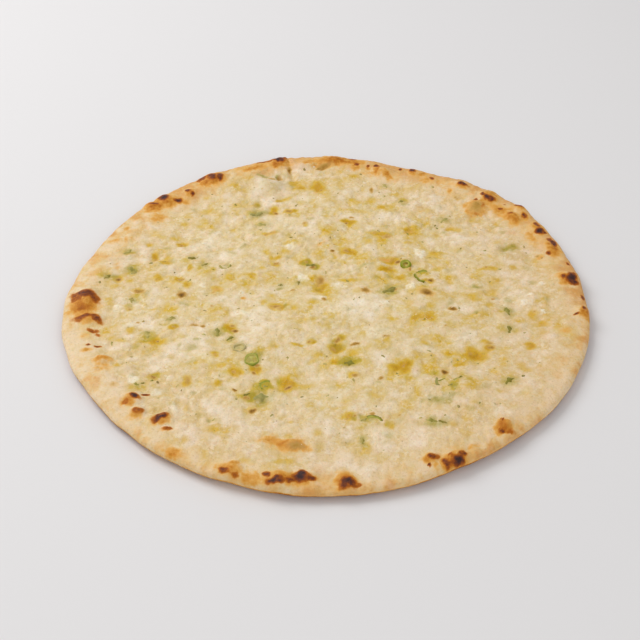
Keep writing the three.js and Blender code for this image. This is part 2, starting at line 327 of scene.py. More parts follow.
# Small places within the topping where cheese and garlic caught, and some rows of painted shade in creases:
# x, y, length, width, turn and how brown.
COOKED_AND_CREASE_SHADE = spots([
    (-75.7, 2.6, 5.8, 6, 0, 0.88), (-98, 5, 6.8, 4, -5, 0.6), (20.4, -85, 3.2, 2.4, 0, 0.6),
    (33.2, -85.8, 2, 1.6, 0, 0.6), (31.6, -74.6, 4, 2, 0, 0.4), (19.5, 5, 6, 4.6, 0, 0.62),
    (51.3, 3.8, 7.4, 6.2, -20, 0.85), (64.5, -8.8, 4.6, 3.4, -15, 0.9), (59.5, -23, 2, 3, 0, 0.5),
    (56.5, -56, 4, 3.4, 0, 0.95), (44.4, 25.2, 1.6, 4.8, -10, 0.7), (-44.4, -69, 3.6, 1.6, -28, 1),
    (13.5, -36, 6, 2.2, 20, 0.9), (-35.5, -81.8, 4.4, 3, 0, 0.95), (-102.5, -66.3, 6, 5.6, 0, 0.3),
    (-14.6, -106.4, 11.2, 6, -9, 0.38), (-63.1, -22.2, 3.6, 3.4, 0, 0.72), (-67.5, -22, 8, 3.2, 0, 0.4),
    (-46.4, -25.2, 3.6, 3.4, 0, 0.8), (29.5, -29.5, 5, 2.4, 0, 0.5), (-3.6, 15, 6.4, 6, 0, 0.55),
    (-1.4, -1.5, 3.6, 2.8, 0, 0.5), (33, 52, 5, 6, 0, 0.45), (25.5, 97.5, 3, 6, 0, 0.45),
    (52.5, 80.5, 8, 6, 0, 0.3), (-18, 6.4, 4, 1.4, 0, 0.55), (-8.4, 24.8, 3.2, 1.6, -20, 0.4),
    # The last row of this line, all of the next line and the first row of the line after are painted shade
    # in the creases round the pinch.
    (-35.9, -56.8, 2.8, 2, -30, 0.75), (25.5, -60.5, 3, 2.4, 0, 0.65), (-1.2, 120.6, 11.2, 5.4, 15, 0.46),
    (-5, 118.5, 6, 1.6, 50, 0.5), (-33, 106, 10, 3, -20, 0.5), (-27.5, 108, 4, 9, -15, 0.5),
    (-21.8, 117, 2.6, 9, 0, 0.66), (3, 122, 6, 4.4, 0, 0.4), (12.2, -86.5, 2, 2, 0, 0.7),
    (-30.8, 53.8, 7.2, 2.6, 0, 0.45), (-12.1, 80.3, 2, 1.6, 0, 0.6), (-26.3, -6, 6, 3, 0, 0.5),
    (13.7, 70.4, 3.6, 2.6, 0, 0.5), (35.2, 7, 2.4, 2, 0, 0.75), (2.8, 39.4, 2.6, 1.8, 0, 0.9),
    (4, 45.1, 1.6, 1.6, 0, 0.7), (85.4, -0.6, 3.2, 2, 0, 0.5), (-95.8, -19.2, 2.2, 2, 0, 0.6),
    (-67.3, -61.8, 4, 6.4, 0, 0.4), (-59.4, -6, 2.6, 2.8, 0, 0.4), (84.6, 78, 10, 11.6, -20, 0.42),
])

# Where the tops of the blisters scorched: x, y, length, width, turn and how dark.
SCORCHED = spots([
    (-124.5, -1.5, 16, 7, -10, 0.7), (-119.5, -3.5, 7, 8, 0, 0.6), (-128.5, -4, 8, 5, 0, 0.5),
    (-123.5, -17.5, 12, 4.4, 8, 0.62), (-116.5, -18, 8, 5.2, -45, 0.7), (-117.5, -26.5, 6, 3, -20, 0.7),
    (-115, -29.5, 4, 2, -30, 0.5), (-118.5, -37, 2.6, 1.6, 0, 0.8), (-113.5, -38, 4.4, 1.4, -5, 0.8),
    (-90.8, -75.4, 6, 4, -35, 1), (-95.2, -78.2, 3.2, 4.4, -25, 0.45), (-88.9, -84.8, 6.4, 4.2, 0, 0.55),
    (-86.1, -72.8, 4, 1.4, 5, 1), (-78, -88.8, 8.4, 4.4, 22, 0.95), (-73.9, -95.5, 5.2, 3, 2, 0.55),
    (-46.5, -122, 6, 3.2, -25, 0.75), (-41.5, -124.4, 4.6, 2.8, -15, 0.52),
    (-23.5, -128, 9, 4.8, -10, 0.88), (-12.5, -125, 8, 6, 35, 0.92), (-8, -126, 6, 2.4, -5, 0.75),
    (-27.5, -124, 5, 3.2, -30, 0.7), (-16.5, -127.5, 6, 3, 0, 0.7), (8.5, -128.5, 9, 6.4, 0, 0.9),
    (12.5, -128.5, 5, 2.4, -20, 0.6), (46.5, -113.5, 6, 2.8, 0, 0.8), (45, -118, 2, 2, 0, 0.8),
    (57.5, -115.5, 7, 5.6, 20, 0.97), (52.5, -116.5, 4, 6, 20, 0.7), (60.5, -112, 6, 3, 10, 0.8),
    (54.5, -113, 3.2, 2, 0, 0.6), (80.6, -90.4, 2.2, 2, 0, 0.7), (79.6, -98, 5.2, 3.2, 0, 0.6),
    (83.2, -97.6, 6, 3.4, 0, 0.46), (80.4, -94.5, 8, 10, -20, 0.26), (131, -10.5, 3, 4, 0, 0.7),
    (126.5, -14.5, 3.6, 1.6, 20, 0.85), (131.5, -0.5, 2.4, 4, 0, 0.85), (128, 13.5, 6.4, 8, -10, 1),
    (130, 10.5, 4, 4, 0, 0.85), (123.5, 13.5, 3.2, 4, 0, 0.7), (128.5, 27, 2, 3.6, 0, 0.6),
    (122.5, 45, 4.4, 8, 20, 0.95), (119, 36.3, 3, 3.6, 0, 0.65), (116.5, 55, 6.8, 4, 15, 0.95),
    (119.5, 54.5, 3.2, 2.6, 0, 0.9), (116, 61, 3.2, 6, 15, 0.85), (109.8, 69.8, 3.6, 4, 0, 0.88),
    (108, 78.2, 5.2, 3, -40, 0.95), (102.5, 70.5, 4, 3.2, 0, 0.55), (98, 77, 3.6, 2.4, 0, 0.6),
    (100.5, 80.5, 2, 1.6, 0, 0.55), (92.5, 85, 7.2, 5.2, -25, 1), (88.5, 88.5, 2.6, 4.4, 0, 0.85),
    (94.5, 96, 5.2, 3, -30, 0.72), (88, 79.5, 2.4, 6.8, -15, 0.36), (84.5, 85, 3, 4, 0, 0.6),
    (84, 73, 4.4, 2.4, 0, 0.3), (78.5, 99.5, 7.2, 4.8, -10, 0.92), (61, 108, 2.8, 3.6, 0, 0.72),
    (50.5, 117, 3.8, 6, -10, 0.88), (43.5, 118.5, 2, 3.2, 0, 0.92), (29.5, 120.5, 4, 6, 0, 0.85),
    (24.5, 120.5, 2.4, 4, 0, 0.75), (17.5, 122.5, 3.6, 3.6, 0, 0.72), (15.5, 129, 5, 3.2, -10, 0.75),
    (-28.2, 126, 9, 4.8, 17, 0.98), (-26.8, 123.6, 6.8, 6, 20, 0.85), (-36.5, 123.5, 14, 2, 18, 0.6),
    (-66, 106.5, 6.8, 5.6, -20, 0.88), (-61.5, 107, 4, 8, 0, 0.82), (-72.5, 106.5, 6, 3.6, 25, 0.7),
    (-79.5, 94.5, 3.6, 3.2, 0, 0.95), (-76.5, 91.5, 3.2, 4, 0, 0.78), (-92.5, 88, 5.4, 7.2, 10, 1),
    (-84.5, 86, 4.8, 5.6, 0, 0.95), (-97.5, 81.5, 7.2, 3.2, 10, 0.78),
])

# Where oil soaked in: x, y, length, width and how much.
OILED = spots([
    (35.3, -52.8, 11.5, 9.5, 1), (4.5, -37.5, 8, 6, 0.8), (6.5, -31.5, 4, 6, 0.8),
    (9.5, -49.5, 14, 5, 0.9), (34.1, 31.8, 13, 4.6, 1), (31.4, 24.2, 9.3, 4.6, 0.8),
    (72.5, -41.5, 10, 10, 0.75), (79.5, -34.5, 5, 5, 0.7), (100.5, -37, 6, 6, 0.7),
    (-5.2, 99.8, 9, 11, 0.95), (-19.6, 105, 4, 4, 0.55), (-15.5, 101, 5, 4, 0.65),
    (-29.6, 76.6, 5.5, 9, 1), (-20.4, 76.2, 8.5, 4, 0.85), (-27.3, 86.8, 3.6, 3.6, 0.6),
    (-39, 82.2, 5, 3.4, 0.55), (-11.7, 62.2, 3.4, 4.2, 0.5), (10.6, -86.4, 5, 4, 0.7),
    (29.3, -91.6, 5, 6, 0.45), (-102, -8, 5.3, 4.6, 0.6), (52.8, 14, 7.5, 4.2, 1), (9, 13.9, 10, 3, 0.45),
    (12, 66.3, 8.5, 4.4, 1), (46, 57.5, 9, 4.4, 0.6), (24.8, 55.2, 6.5, 3, 0.4), (12.8, 39.6, 8, 5, 0.85),
    (-12.4, 30.4, 8, 6, 1), (-5.9, 25.4, 4.6, 5, 0.7), (-3, 10.2, 8.6, 10.5, 1), (-109, 14.2, 7.4, 6, 1),
    (-111.5, 8.6, 4.6, 3.6, 0.4), (-98.1, 5, 9, 4, 0.6), (-79, 45.8, 6.4, 4.6, 0.85),
    (-92.6, 34.6, 4.2, 7, 0.8), (-86.7, 30, 6.5, 4.4, 0.65), (-96.9, 44.7, 4.8, 5, 0.5),
    (-107.1, 36.8, 8.7, 3.2, 0.55), (-27, 33.8, 4.7, 2.6, 0.6), (-27.2, 28.7, 4.7, 4.4, 0.7),
    (-26.3, -6.2, 9, 4.7, 0.85), (-83.3, -59.4, 6.3, 5.6, 0.85), (-87.2, -35, 8.7, 4, 0.8),
    (-78, -23.4, 4.6, 3.8, 1), (-67.3, -62, 5, 8.5, 0.7), (-35.5, -53.5, 7, 7, 0.85),
    (-20.6, -63.6, 8, 10, 0.95), (-36.5, -72.5, 6, 6, 0.8), (-30.5, -65.5, 8, 8, 0.8),
    (-45.3, -57.2, 7, 5, 0.65), (-39.2, -73.6, 8, 5, 0.7), (-8.5, -34.5, 5, 4, 0.7),
    (-15.5, -35.5, 8, 2, 0.6), (98.5, 42, 9, 4, 0.3), (29, 54, 12, 3.6, 0.4), (60, 26, 8, 4, 0.3),
    (-52, 82, 7, 4, 0.35), (74, 2, 9, 6, 0.35), (104.5, -13.5, 7, 8, 0.5), (109.5, -20, 5, 5, 0.4),
    (-31, 54, 7.5, 3.2, 0.6), (80.2, -38, 5, 4.5, 0.8), (4.4, -33.4, 5, 4, 0.6), (12.4, -58, 5, 4, 0.6),
    (-57.7, 7.8, 7, 6.6, 0.6), (75.5, 89, 8, 5, 0.6), (-78.4, 15.4, 4, 4.3, 0.7),
    (-73.1, 11.6, 4.2, 5.5, 0.6), (-73.4, 25.2, 3.6, 4.2, 0.75), (-89, 17.5, 4.3, 7, 0.45),
    (-98.7, -26, 5, 4.4, 0.45), (-49, -23.4, 6.6, 6.7, 0.8), (-40.1, 18.7, 5.4, 2.7, 0.5),
    (-33.5, -3, 3.4, 4, 0.45), (-61.3, 22.9, 5.4, 5, 0.4), (-56.1, -44.2, 5, 5.3, 0.65),
    (-51.7, -51.8, 4.3, 4.2, 0.45), (-52.4, -64, 4.4, 4, 0.6), (-66.4, -81.6, 3, 5, 0.3),
    (-64.7, -103.4, 4, 4.6, 0.35), (59.4, 39.3, 8, 3, 0.45), (67.6, 60.2, 5, 3.6, 0.45),
    (85.5, 24.9, 10.5, 5, 0.55), (98.9, 26, 3.5, 3.5, 0.45), (114.1, 33.5, 3.8, 4.6, 0.5),
    (89.3, 16.2, 4.4, 3.4, 0.4), (44.5, 47, 4, 3, 0.4),
], turned=False)

# Where leaves show through the cheese that melted over them, and two rows of painted shade in creases:
# x, y, length, width, turn and how plainly.
VEILED_AND_CREASE_SHADE = spots([
    (4.5, -37.5, 8, 6, 0, 0.4), (6.5, -31.5, 4, 6, 0, 0.35), (-8.5, -34.5, 5, 4, 0, 0.35),
    (9.5, -46, 11, 4, 0, 0.35), (-33, 102, 28, 17, 15, 0.22), (51.5, -76, 12, 7, 0, 0.9),
    (-37.5, -46, 10, 9, 0, 1), (65.5, 68.5, 9, 6, 0, 0.6), (-36.5, 75.5, 10, 7, 0, 0.8),
    (-31.5, -73, 10, 7, 0, 0.9), (50, -91.5, 13, 6, 0, 0.8), (-43.5, -37.5, 9, 8, 0, 0.55),
    (92.5, -9.5, 6, 8, 0, 0.7), (58, -72, 7, 4, 0, 0.7), (-55, -27, 7, 6, 0, 0.8),
    (18, -87, 12, 4, 0, 0.6), (-103.8, 21.5, 4, 5, 0, 0.7), (-112.9, 17, 4.6, 2.6, 0, 0.7),
    (-100.3, -2.8, 3.8, 4, 0, 0.7), (-45.9, 43, 3, 4, 0, 0.7), (-64.7, 26.7, 4, 3.8, 0, 0.55),
    (-53.5, 27.2, 4, 4, 0, 0.6), (-21.4, -5.6, 3, 4.7, 0, 0.6), (-39.2, 82.4, 5, 4, 0, 0.6),
    (-34.4, 62.6, 6, 5, 0, 0.5), (-7.2, 67.2, 4, 3.5, 0, 0.6), (-64.5, -70.8, 3.4, 2.6, 0, 0.6),
    (-66.9, -38.8, 5, 3.4, 0, 0.5), (-79.9, -19.4, 7, 5, 0, 0.6), (-90.7, -29.2, 4.4, 5, 0, 0.6),
    (-65.6, -32, 4.6, 3.4, 0, 0.7), (66, 66.8, 5, 4, 0, 0.6), (57, 61.2, 4, 3, 0, 0.4),
    (44, 83.4, 5, 3.5, 0, 0.6), (18.5, 25.2, 14, 2.6, 25, 0.55), (98.3, 42, 11, 6, 0, 0.85),
    (77.6, 9.4, 5.4, 3.6, 0, 0.9), (75.7, -11.8, 3, 3, 0, 0.7), (106.8, 25.6, 5, 4, 0, 0.4),
    (107.3, 13.2, 4, 3, 0, 0.5), (-56.3, -89.2, 3, 3, 0, 0.6), (-25, 8.8, 3, 2.4, 0, 0.8),
    # The last row of this line and the row below are painted shade in two creases beside the pinch, not
    # leaves.
    (-15.1, 12.8, 4, 3.5, 0, 0.9), (-50.7, -68, 3.4, 4.4, 0, 0.5), (-36.2, 108.6, 8.5, 2.6, -24, 1),
    (-29, 108.2, 4.5, 5.4, 0, 0.95),
])

# Where the topping is richer or, below 0, leaner: x, y, length, width and by how much.
RICHNESS = spots([
    (-60, 38, 38, 46, -0.28), (-20, 26, 22, 26, -0.26), (17, -6, 38, 60, -0.24), (-50, 2, 20, 24, -0.18),
    (-96, -23, 28, 24, -0.16), (-77, -45, 22, 24, -0.34), (-18, -45, 20, 22, -0.24),
    (26, -45, 22, 24, -0.22), (86, -34, 20, 44, -0.2), (-84, 26, 22, 26, -0.14), (-46, 81, 40, 28, 0.2),
    (20, 81, 40, 28, 0.3), (29, 54, 20, 22, 0.28), (60, 34, 26, 44, 0.18), (97, 44, 24, 30, 0.14),
    (-100, 12, 24, 56, 0.17), (-65, -8, 22, 36, 0.15), (50, -12, 34, 50, 0.24), (74, 1, 22, 26, 0.16),
    (105, 2, 20, 30, 0.18), (-33, -45, 20, 22, 0.26), (3, -45, 32, 22, 0.26), (63, -47, 32, 24, 0.3),
    (-90, -68, 22, 26, 0.34), (-53, -67, 34, 26, 0.2), (-12, -68, 44, 26, 0.18), (46, -68, 38, 26, 0.16),
    (66, -88, 24, 24, 0.18), (-22, -108, 26, 22, 0.22), (14, -108, 22, 20, 0.24), (-5, 108, 24, 24, 0.14),
], turned=False)

# Pale lumps of garlic and curd: x, y, length, width, turn and how pale.
CURDS = spots([
    (-107.5, -8.4, 4.8, 5.8, 0, 0.8), (-100.1, -20.4, 3.6, 4.5, 0, 0.8), (-44.9, 5.2, 4, 4.8, 0, 0.8),
    (-37.2, -23.8, 7, 6.7, 0, 0.7), (-43.7, -11.2, 6, 5.7, 0, 0.8), (-65.5, 10.6, 3.4, 3.6, 0, 1),
    (-93.2, -62.4, 5.2, 6.1, 0, 0.9), (-81.9, -70.6, 5.6, 4, 0, 0.8), (-71.6, -81.4, 4.1, 5.8, 0, 0.7),
    (-12.8, 17, 5.4, 7.4, 30, 0.9), (-20.6, 42.4, 4.8, 6.5, 0, 0.8), (6.4, 11, 6.9, 4.8, 0, 0.7),
    (50.4, 38.4, 6.9, 11, 20, 0.9), (44, 9, 5, 6.6, 0, 1), (29.3, -4, 5.8, 8.5, 0, 0.9),
    (111.4, 10.2, 4.2, 5, 0, 0.9), (106, 2.2, 3.8, 4.5, 0, 0.9), (100.9, -3.4, 3.8, 4.5, 0, 0.9),
    (109.6, -11.2, 3.8, 5, 0, 0.9), (-2.7, 0, 6, 4, 0, 0.8), (8, -8, 28, 18, 0, 0.3),
    (32, -8, 24, 15, 0, 0.32), (24, -26, 20, 14, 0, 0.3), (-36, -12, 28, 16, 0, 0.28),
    (-62, -46, 14, 10, 0, 0.3), (-24, 64, 22, 12, 0, 0.25), (-60, 52, 26, 20, 0, 0.25),
    (-98, -12, 20, 26, 0, 0.3), (98, 0, 20, 22, 0, 0.25), (20, -98, 26, 14, 0, 0.28),
    (56, -98, 18, 10, 0, 0.15), (-6, 88, 16, 8, 0, 0.3), (0, -72, 18, 14, 0, 0.3),
])

# Whole slices of spring onion: x, y, diameter, width of the wall, tilt, whether a film fills the ring, how
# green, how pale and waxy, and how far cheese covers it.
RINGS = [
    (41.9, 28, 5.8, 1.8, 20, False, 1, 0, 0), (-37.2, -47.6, 8.2, 1.5, 0, True, 1, 0.1, 0),
    (-43.8, -38.6, 6.3, 1, 8, True, 0, 0.8, 0.35),
]

# Curls of cut onion green: x and y of one end and of the other, width, how far the curl bows out to the
# right between them, how green, how pale and waxy, and how far cheese covers it.
CURLS = [
    (53, 23.6, 45.4, 19.8, 2, 0.7, 0.6, 0, 0), (46.6, 20.2, 50.9, 12.1, 1.4, 1, 0.6, 0, 0),
    (-28, -61.8, -32.5, -63.9, 1.7, 0.5, 0.9, 0, 0), (-32.3, -63.7, -31.4, -67.3, 1.5, 0.4, 0.9, 0, 0.2),
    (52.6, -60, 52.2, -65.3, 2, 0.4, 0.5, 0.3, 0.1), (56.4, -60.4, 53.2, -62.3, 1.3, 0.3, 0.2, 0, 0),
    (64.8, -59.3, 60.2, -62.8, 1.4, 0.5, 0.5, 0, 0.3), (24.9, -89.7, 18.2, -87.3, 2.2, 1.6, 0.4, 0, 0.1),
    (-57.1, 26.5, -51.7, 27.5, 1.4, 2.3, 0.5, 0.2, 0.4),
]

# Bits of chopped leaf: x, y, length, turn, how pale and waxy, and how far cheese covers them.
LEAVES = [
    (-31.5, -73, 9, 10, 0.8, 0.35), (47.8, -90, 6, 0, 0.1, 0.4), (53, -91.2, 4.6, -52, 0, 0.25),
    (92.5, -9.5, 6.5, 80, 0.15, 0.15), (91.5, -24, 6, 60, 0, 0.25), (87.5, -62.5, 6.5, 30, 0, 0.15),
    (-103.5, 22.5, 6, 0, 0.2, 0.4), (-55.5, -26.5, 6, 70, 0.2, 0.35), (-115.5, 15.5, 5, 30, 0, 0.4),
    (-107.5, 38, 6, 25, 0.2, 0.5), (-79.5, -17.5, 6, 0, 0, 0.4), (-90.5, -29.5, 6, -50, 0, 0.5),
    (-8.5, 27.5, 6, -20, 0, 0.3), (-14.8, 12.5, 4, 60, 0, 0.3), (32.5, 6.5, 9, 10, 0.25, 0.3),
    (10.5, -50, 6, -15, 0, 0.1), (-36.5, 62.5, 6, 0, 0.2, 0.5), (-39.4, 73.8, 8, -5, 0.7, 0.35),
    (-48.5, -31, 5, 20, 0, 0.3), (15.5, -101.5, 5, 70, 0, 0.4), (-100.5, -2, 5, 80, 0, 0.5),
    (-38.5, -72, 3.6, 50, 0, 0), (16.5, -88.5, 3.4, 0, 0.2, 0.4), (63.8, -59.9, 2.8, 30, 0, 0),
    (65.5, 68.5, 6, 15, 0.3, 0.5), (42.5, 86.5, 4.5, 20, 0, 0.4), (33.5, 102, 4.5, -30, 0, 0.5),
    (-65.5, 28.5, 4.5, 10, 0, 0.4), (-72.5, 33, 4.5, -15, 0, 0.1), (58.5, -66, 3, 0, 0, 0.3),
    (-24.5, 11.5, 3, 0, 0, 0.3), (-91.5, -66, 3, 0, 0, 0.3), (-88.5, -65, 2, 0, 0, 0.2),
    (-84.5, -62.5, 2, 0, 0, 0.2),
]


# ---- The form of the bread ----


@dataclass
class Form:
    """The bread's own shape, the same as its solid, with the crumbs of the topping added.

    Args:
        diameter: Mean width of the round.
        body: Thickness of the topped middle.
        rim_rise: How far the bare rim stands above the middle.
        rim_inset: From the outline in to the crown of the rim.
        rim_spread: How gently the rim fades to each side of its crown.
        edge_run: From the outline in to where the edge starts to roll over.
        edge_lift: How far the underside of the edge is off the table.
        lift_width: The stretch at the edge over which the underside lifts.
        flat_spot: Radius of the middle of the underside that is left quite flat.
        blister_rise: Height of a blister over its mean width.
        hollow_depth: Depth of a hollow over its mean width.
        outline_waves: Lobes, height and first degree of each slow wave of the outline.
        edge_ripple: Full range and length of the small unevenness of the outline.
        top_waves: Height, wavelength, heading and phase of each slow wave of the top.
        lump_layers: Full range and wavelength of the topping's lumps.
        pits: Full range and wavelength of the hollows in the underside.
        bare_far: How much wider the bare rim is at the far side than at the left and the right.
        bare_near: How much narrower it is at the near side.
        topping_edge: From the outline in to where the topping starts, and to where it is full.
        topping_waver: Layers by which the topping's edge wavers.
        coarse_crumbs: Size and seed of the large crumbs.
        fine_crumbs: Size and seed of the small crumbs.
        coarse_rise: Height of the large crumbs.
        fine_rise: Height of the small crumbs.
        crumb_level: How high up a crumb lies level with the solid's top.
        melting: Layer by which the crumbs stand higher here than there.
        wrinkles: Layers of the wrinkles of the bare rim.
        curd_rise: Height of the palest curds.
        strewing: How far a strewn thing lies off its row, as a share of the step.
        strewn_edge: Layer by which the edge of what is strewn wavers.
    """

    diameter: float = 266.2
    body: float = 6.2
    rim_rise: float = 1.3
    rim_inset: float = 10.0
    rim_spread: float = 8.0
    edge_run: float = 4.5
    edge_lift: float = 1.2
    lift_width: float = 16.0
    flat_spot: float = 25.0
    blister_rise: float = 0.15
    hollow_depth: float = 0.09
    outline_waves: tuple[tuple[int, float, float], ...] = (
        (2, 1.6, 39), (3, 0.3, 65), (4, 0.5, 52), (5, 0.8, -154), (6, 0.3, -175), (7, 0.6, -94), (8, 0.3, 6),
    )
    edge_ripple: tuple[float, float] = (0.9, 13.0)
    top_waves: tuple[tuple[float, ...], ...] = (
        (0.45, 118, 25, 40), (0.35, 74, 110, 200), (0.3, 51, -35, 90),
    )
    lump_layers: tuple[tuple[float, float], ...] = ((1.5, 11), (0.9, 6))
    pits: tuple[float, float] = (1.1, 14)
    bare_far: float = 6.0
    bare_near: float = 2.0
    topping_edge: tuple[float, float] = (3, 17)
    topping_waver: tuple[Layer, ...] = ((9, 17, 21), (7, 5, 22))
    coarse_crumbs: tuple[float, int] = (4.2, 31)
    fine_crumbs: tuple[float, int] = (2.3, 41)
    coarse_rise: float = 1.05
    fine_rise: float = 0.6
    crumb_level: float = 0.4
    melting: Layer = (0.9, 23, 51)
    wrinkles: tuple[Layer, ...] = ((0.4, 3.1, 61), (0.3, 1.8, 62))
    curd_rise: float = 0.7
    strewing: float = 0.48
    strewn_edge: Layer = (4, 11, 95)

    def outline(self, angle: np.ndarray) -> np.ndarray:
        """Distance from the middle to the outline.

        Args:
            angle: The directions to look in, in radians from the right.

        Returns:
            A distance for each direction.
        """
        radius = np.full_like(angle, self.diameter / 2)
        for lobes, height, first in self.outline_waves:
            radius = radius + height * np.cos(lobes * angle - math.radians(first))
        ripple, wavelength = self.edge_ripple
        return radius + ripple * lumps(radius * np.cos(angle), radius * np.sin(angle), wavelength, 1)

    def inset(self, x: np.ndarray, y: np.ndarray) -> np.ndarray:
        """How far points are in from the outline."""
        return self.outline(np.arctan2(y, x)) - np.hypot(x, y)

    def middle(self) -> tuple[float, float]:
        """Finds the middle of the box round the outline.

        Returns:
            Its place, to the right and to the back.
        """
        angle = np.linspace(-math.pi, math.pi, 3600)
        x, y = self.outline(angle) * np.cos(angle), self.outline(angle) * np.sin(angle)
        return float(x.min() + x.max()) / 2, float(y.min() + y.max()) / 2

    def topped(self, x: np.ndarray, y: np.ndarray, inset: np.ndarray) -> np.ndarray:
        """How far points are covered by the topping.

        Args:
            x: Points, to the right.
            y: Points, to the back.
            inset: How far they are in from the outline.

        Returns:
            Cover from 0 on the bare rim to 1.
        """
        back = np.sin(np.arctan2(y, x))
        bare = self.bare_far * smoothstep(back, 0.0, 0.5) - self.bare_near * smoothstep(-back, 0.5, 0.9)
        return smoothstep(inset - bare + layered(x, y, *self.topping_waver), *self.topping_edge)

    def solid_top(self, x: np.ndarray, y: np.ndarray, inset: np.ndarray) -> np.ndarray:
        """Height of the top as the solid has it.

        Args:
            x: Points, to the right.
            y: Points, to the back.
            inset: How far they are in from the outline.

        Returns:
            Heights above the table.
        """
        z = self.body + self.rim_rise * np.exp(-(((inset - self.rim_inset) / self.rim_spread) ** 2))
        for height, wavelength, heading, phase in self.top_waves:
            distance = x * math.cos(math.radians(heading)) + y * math.sin(math.radians(heading))
            z = z + height * np.sin(2 * math.pi * distance / wavelength + math.radians(phase))
        eased = smoothstep(inset, self.rim_inset, 2.4 * self.rim_inset)
        for layer, (height, wavelength) in enumerate(self.lump_layers):
            z = z + height * (0.5 + 0.5 * eased) * lumps(x, y, wavelength, 2 + layer)
        for blister in BLISTERS:
            z = z + self.blister_rise * blister.breadth() * blister.mound(x, y)
        for hollow in HOLLOWS:
            z = z - self.hollow_depth * hollow.breadth() * hollow.mound(x, y)
        return z + mounds(x, y, FOLDS)

    def crumb_relief(self, x: np.ndarray, y: np.ndarray, inset: np.ndarray) -> np.ndarray:
        """Height that the crumbs of cheese and garlic, and the wrinkles of the bare rim, add to the top.

        Args:
            x: Points, to the right.
            y: Points, to the back.
            inset: How far they are in from the outline.

        Returns:
            Heights above the solid's top, below 0 between the crumbs.
        """
        topped = self.topped(x, y, inset)
        coarse, _ = crumbs(x, y, *self.coarse_crumbs)
        fine, _ = crumbs(x, y, *self.fine_crumbs)
        standing = (0.75 + layered(x, y, self.melting)) * (1 - 0.75 * self.smooth(x, y))
        grains = self.coarse_rise * (coarse - self.crumb_level) + self.fine_rise * (fine - self.crumb_level)
        wrinkles = layered(x, y, *self.wrinkles)
        lumped = mounds(x, y, CREASES) + self.curd_rise * mounds(x, y, CURDS)
        return (0.5 + 0.5 * topped) * standing * grains + (1 - 0.5 * topped) * wrinkles + lumped

    @staticmethod
    def smooth(x: np.ndarray, y: np.ndarray) -> np.ndarray:
        """How smooth the dough puffed up, from 0 to 1."""
        return np.clip(1.6 * mounds(x, y, SMOOTH), 0, 1)

    def top(self, x: np.ndarray, y: np.ndarray, inset: np.ndarray) -> np.ndarray:
        """Height of the top with its crumbs."""
        return self.solid_top(x, y, inset) + self.crumb_relief(x, y, inset)

    def underside(self, x: np.ndarray, y: np.ndarray, inset: np.ndarray) -> np.ndarray:
        """Height of the underside: flat where the bread rests, with shallow pits, and lifting at the edge.

        Args:
            x: Points, to the right.
            y: Points, to the back.
            inset: How far they are in from the outline.

        Returns:
            Heights above the table.
        """
        lift = self.edge_lift * smoothstep(-inset, -self.lift_width, 0)
        pitted = smoothstep(np.hypot(x, y), self.flat_spot, 2 * self.flat_spot)
        depth, wavelength = self.pits
        return lift + depth * pitted * np.maximum(0.0, lumps(x, y, wavelength, 8))

    def spread(self, draw: np.random.Generator, step: float, edge: float) -> list[tuple[float, float]]:
        """Finds places spread evenly but not in rows over the topping.

        Args:
            draw: Where the chance comes from.
            step: About how far apart they are.
            edge: How far in from the outline they start.

        Returns:
            x and y of each place.
        """
        half = self.diameter / 2
        lines = np.arange(-half, half, step)
        x, y = (grid.ravel() for grid in np.meshgrid(lines, lines))
        x = x + draw.uniform(-self.strewing, self.strewing, x.shape) * step
        y = y + draw.uniform(-self.strewing, self.strewing, y.shape) * step
        kept = self.inset(x, y) > edge + layered(x, y, self.strewn_edge)
        return list(zip(x[kept].tolist(), y[kept].tolist()))


@dataclass
class Placing:
    """Where the bread's own middle lies in the frame that all pieces share.

    Args:
        x: Middle of the bread's outline, to the right, in its own measure.
        y: Middle of the bread's outline, to the back, in its own measure.
    """

    x: float
    y: float

    @classmethod
    def over_node(cls, form: Form) -> "Placing":
        """Lays the bread's box over the box of its node.

        Args:
            form: The bread's shape.

        Returns:
            The placing.
        """
        low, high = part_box(NODE)
        x, y = form.middle()
        return cls(x - (low.x + high.x) / 2 / MM, y - (low.y + high.y) / 2 / MM)

    def to_frame(self, points: np.ndarray) -> np.ndarray:
        """Turns places on the bread, in millimetres, into places in the frame, in metres."""
        return (points - np.array([self.x, self.y, 0.0])) * MM


# ---- Shader tools ----


def linear(red: int, green: int, blue: int) -> Colour:
    """Turns a screen colour into the light that it stands for.

    Args:
        red: From 0 to 255.
        green: From 0 to 255.
        blue: From 0 to 255.

    Returns:
        The colour as a shader takes it, with full alpha.
    """
    parts = [c / 255 for c in (red, green, blue)]
    light = [c / 12.92 if c <= 0.04045 else ((c + 0.055) / 1.055) ** 2.4 for c in parts]
    return (*light, 1.0)


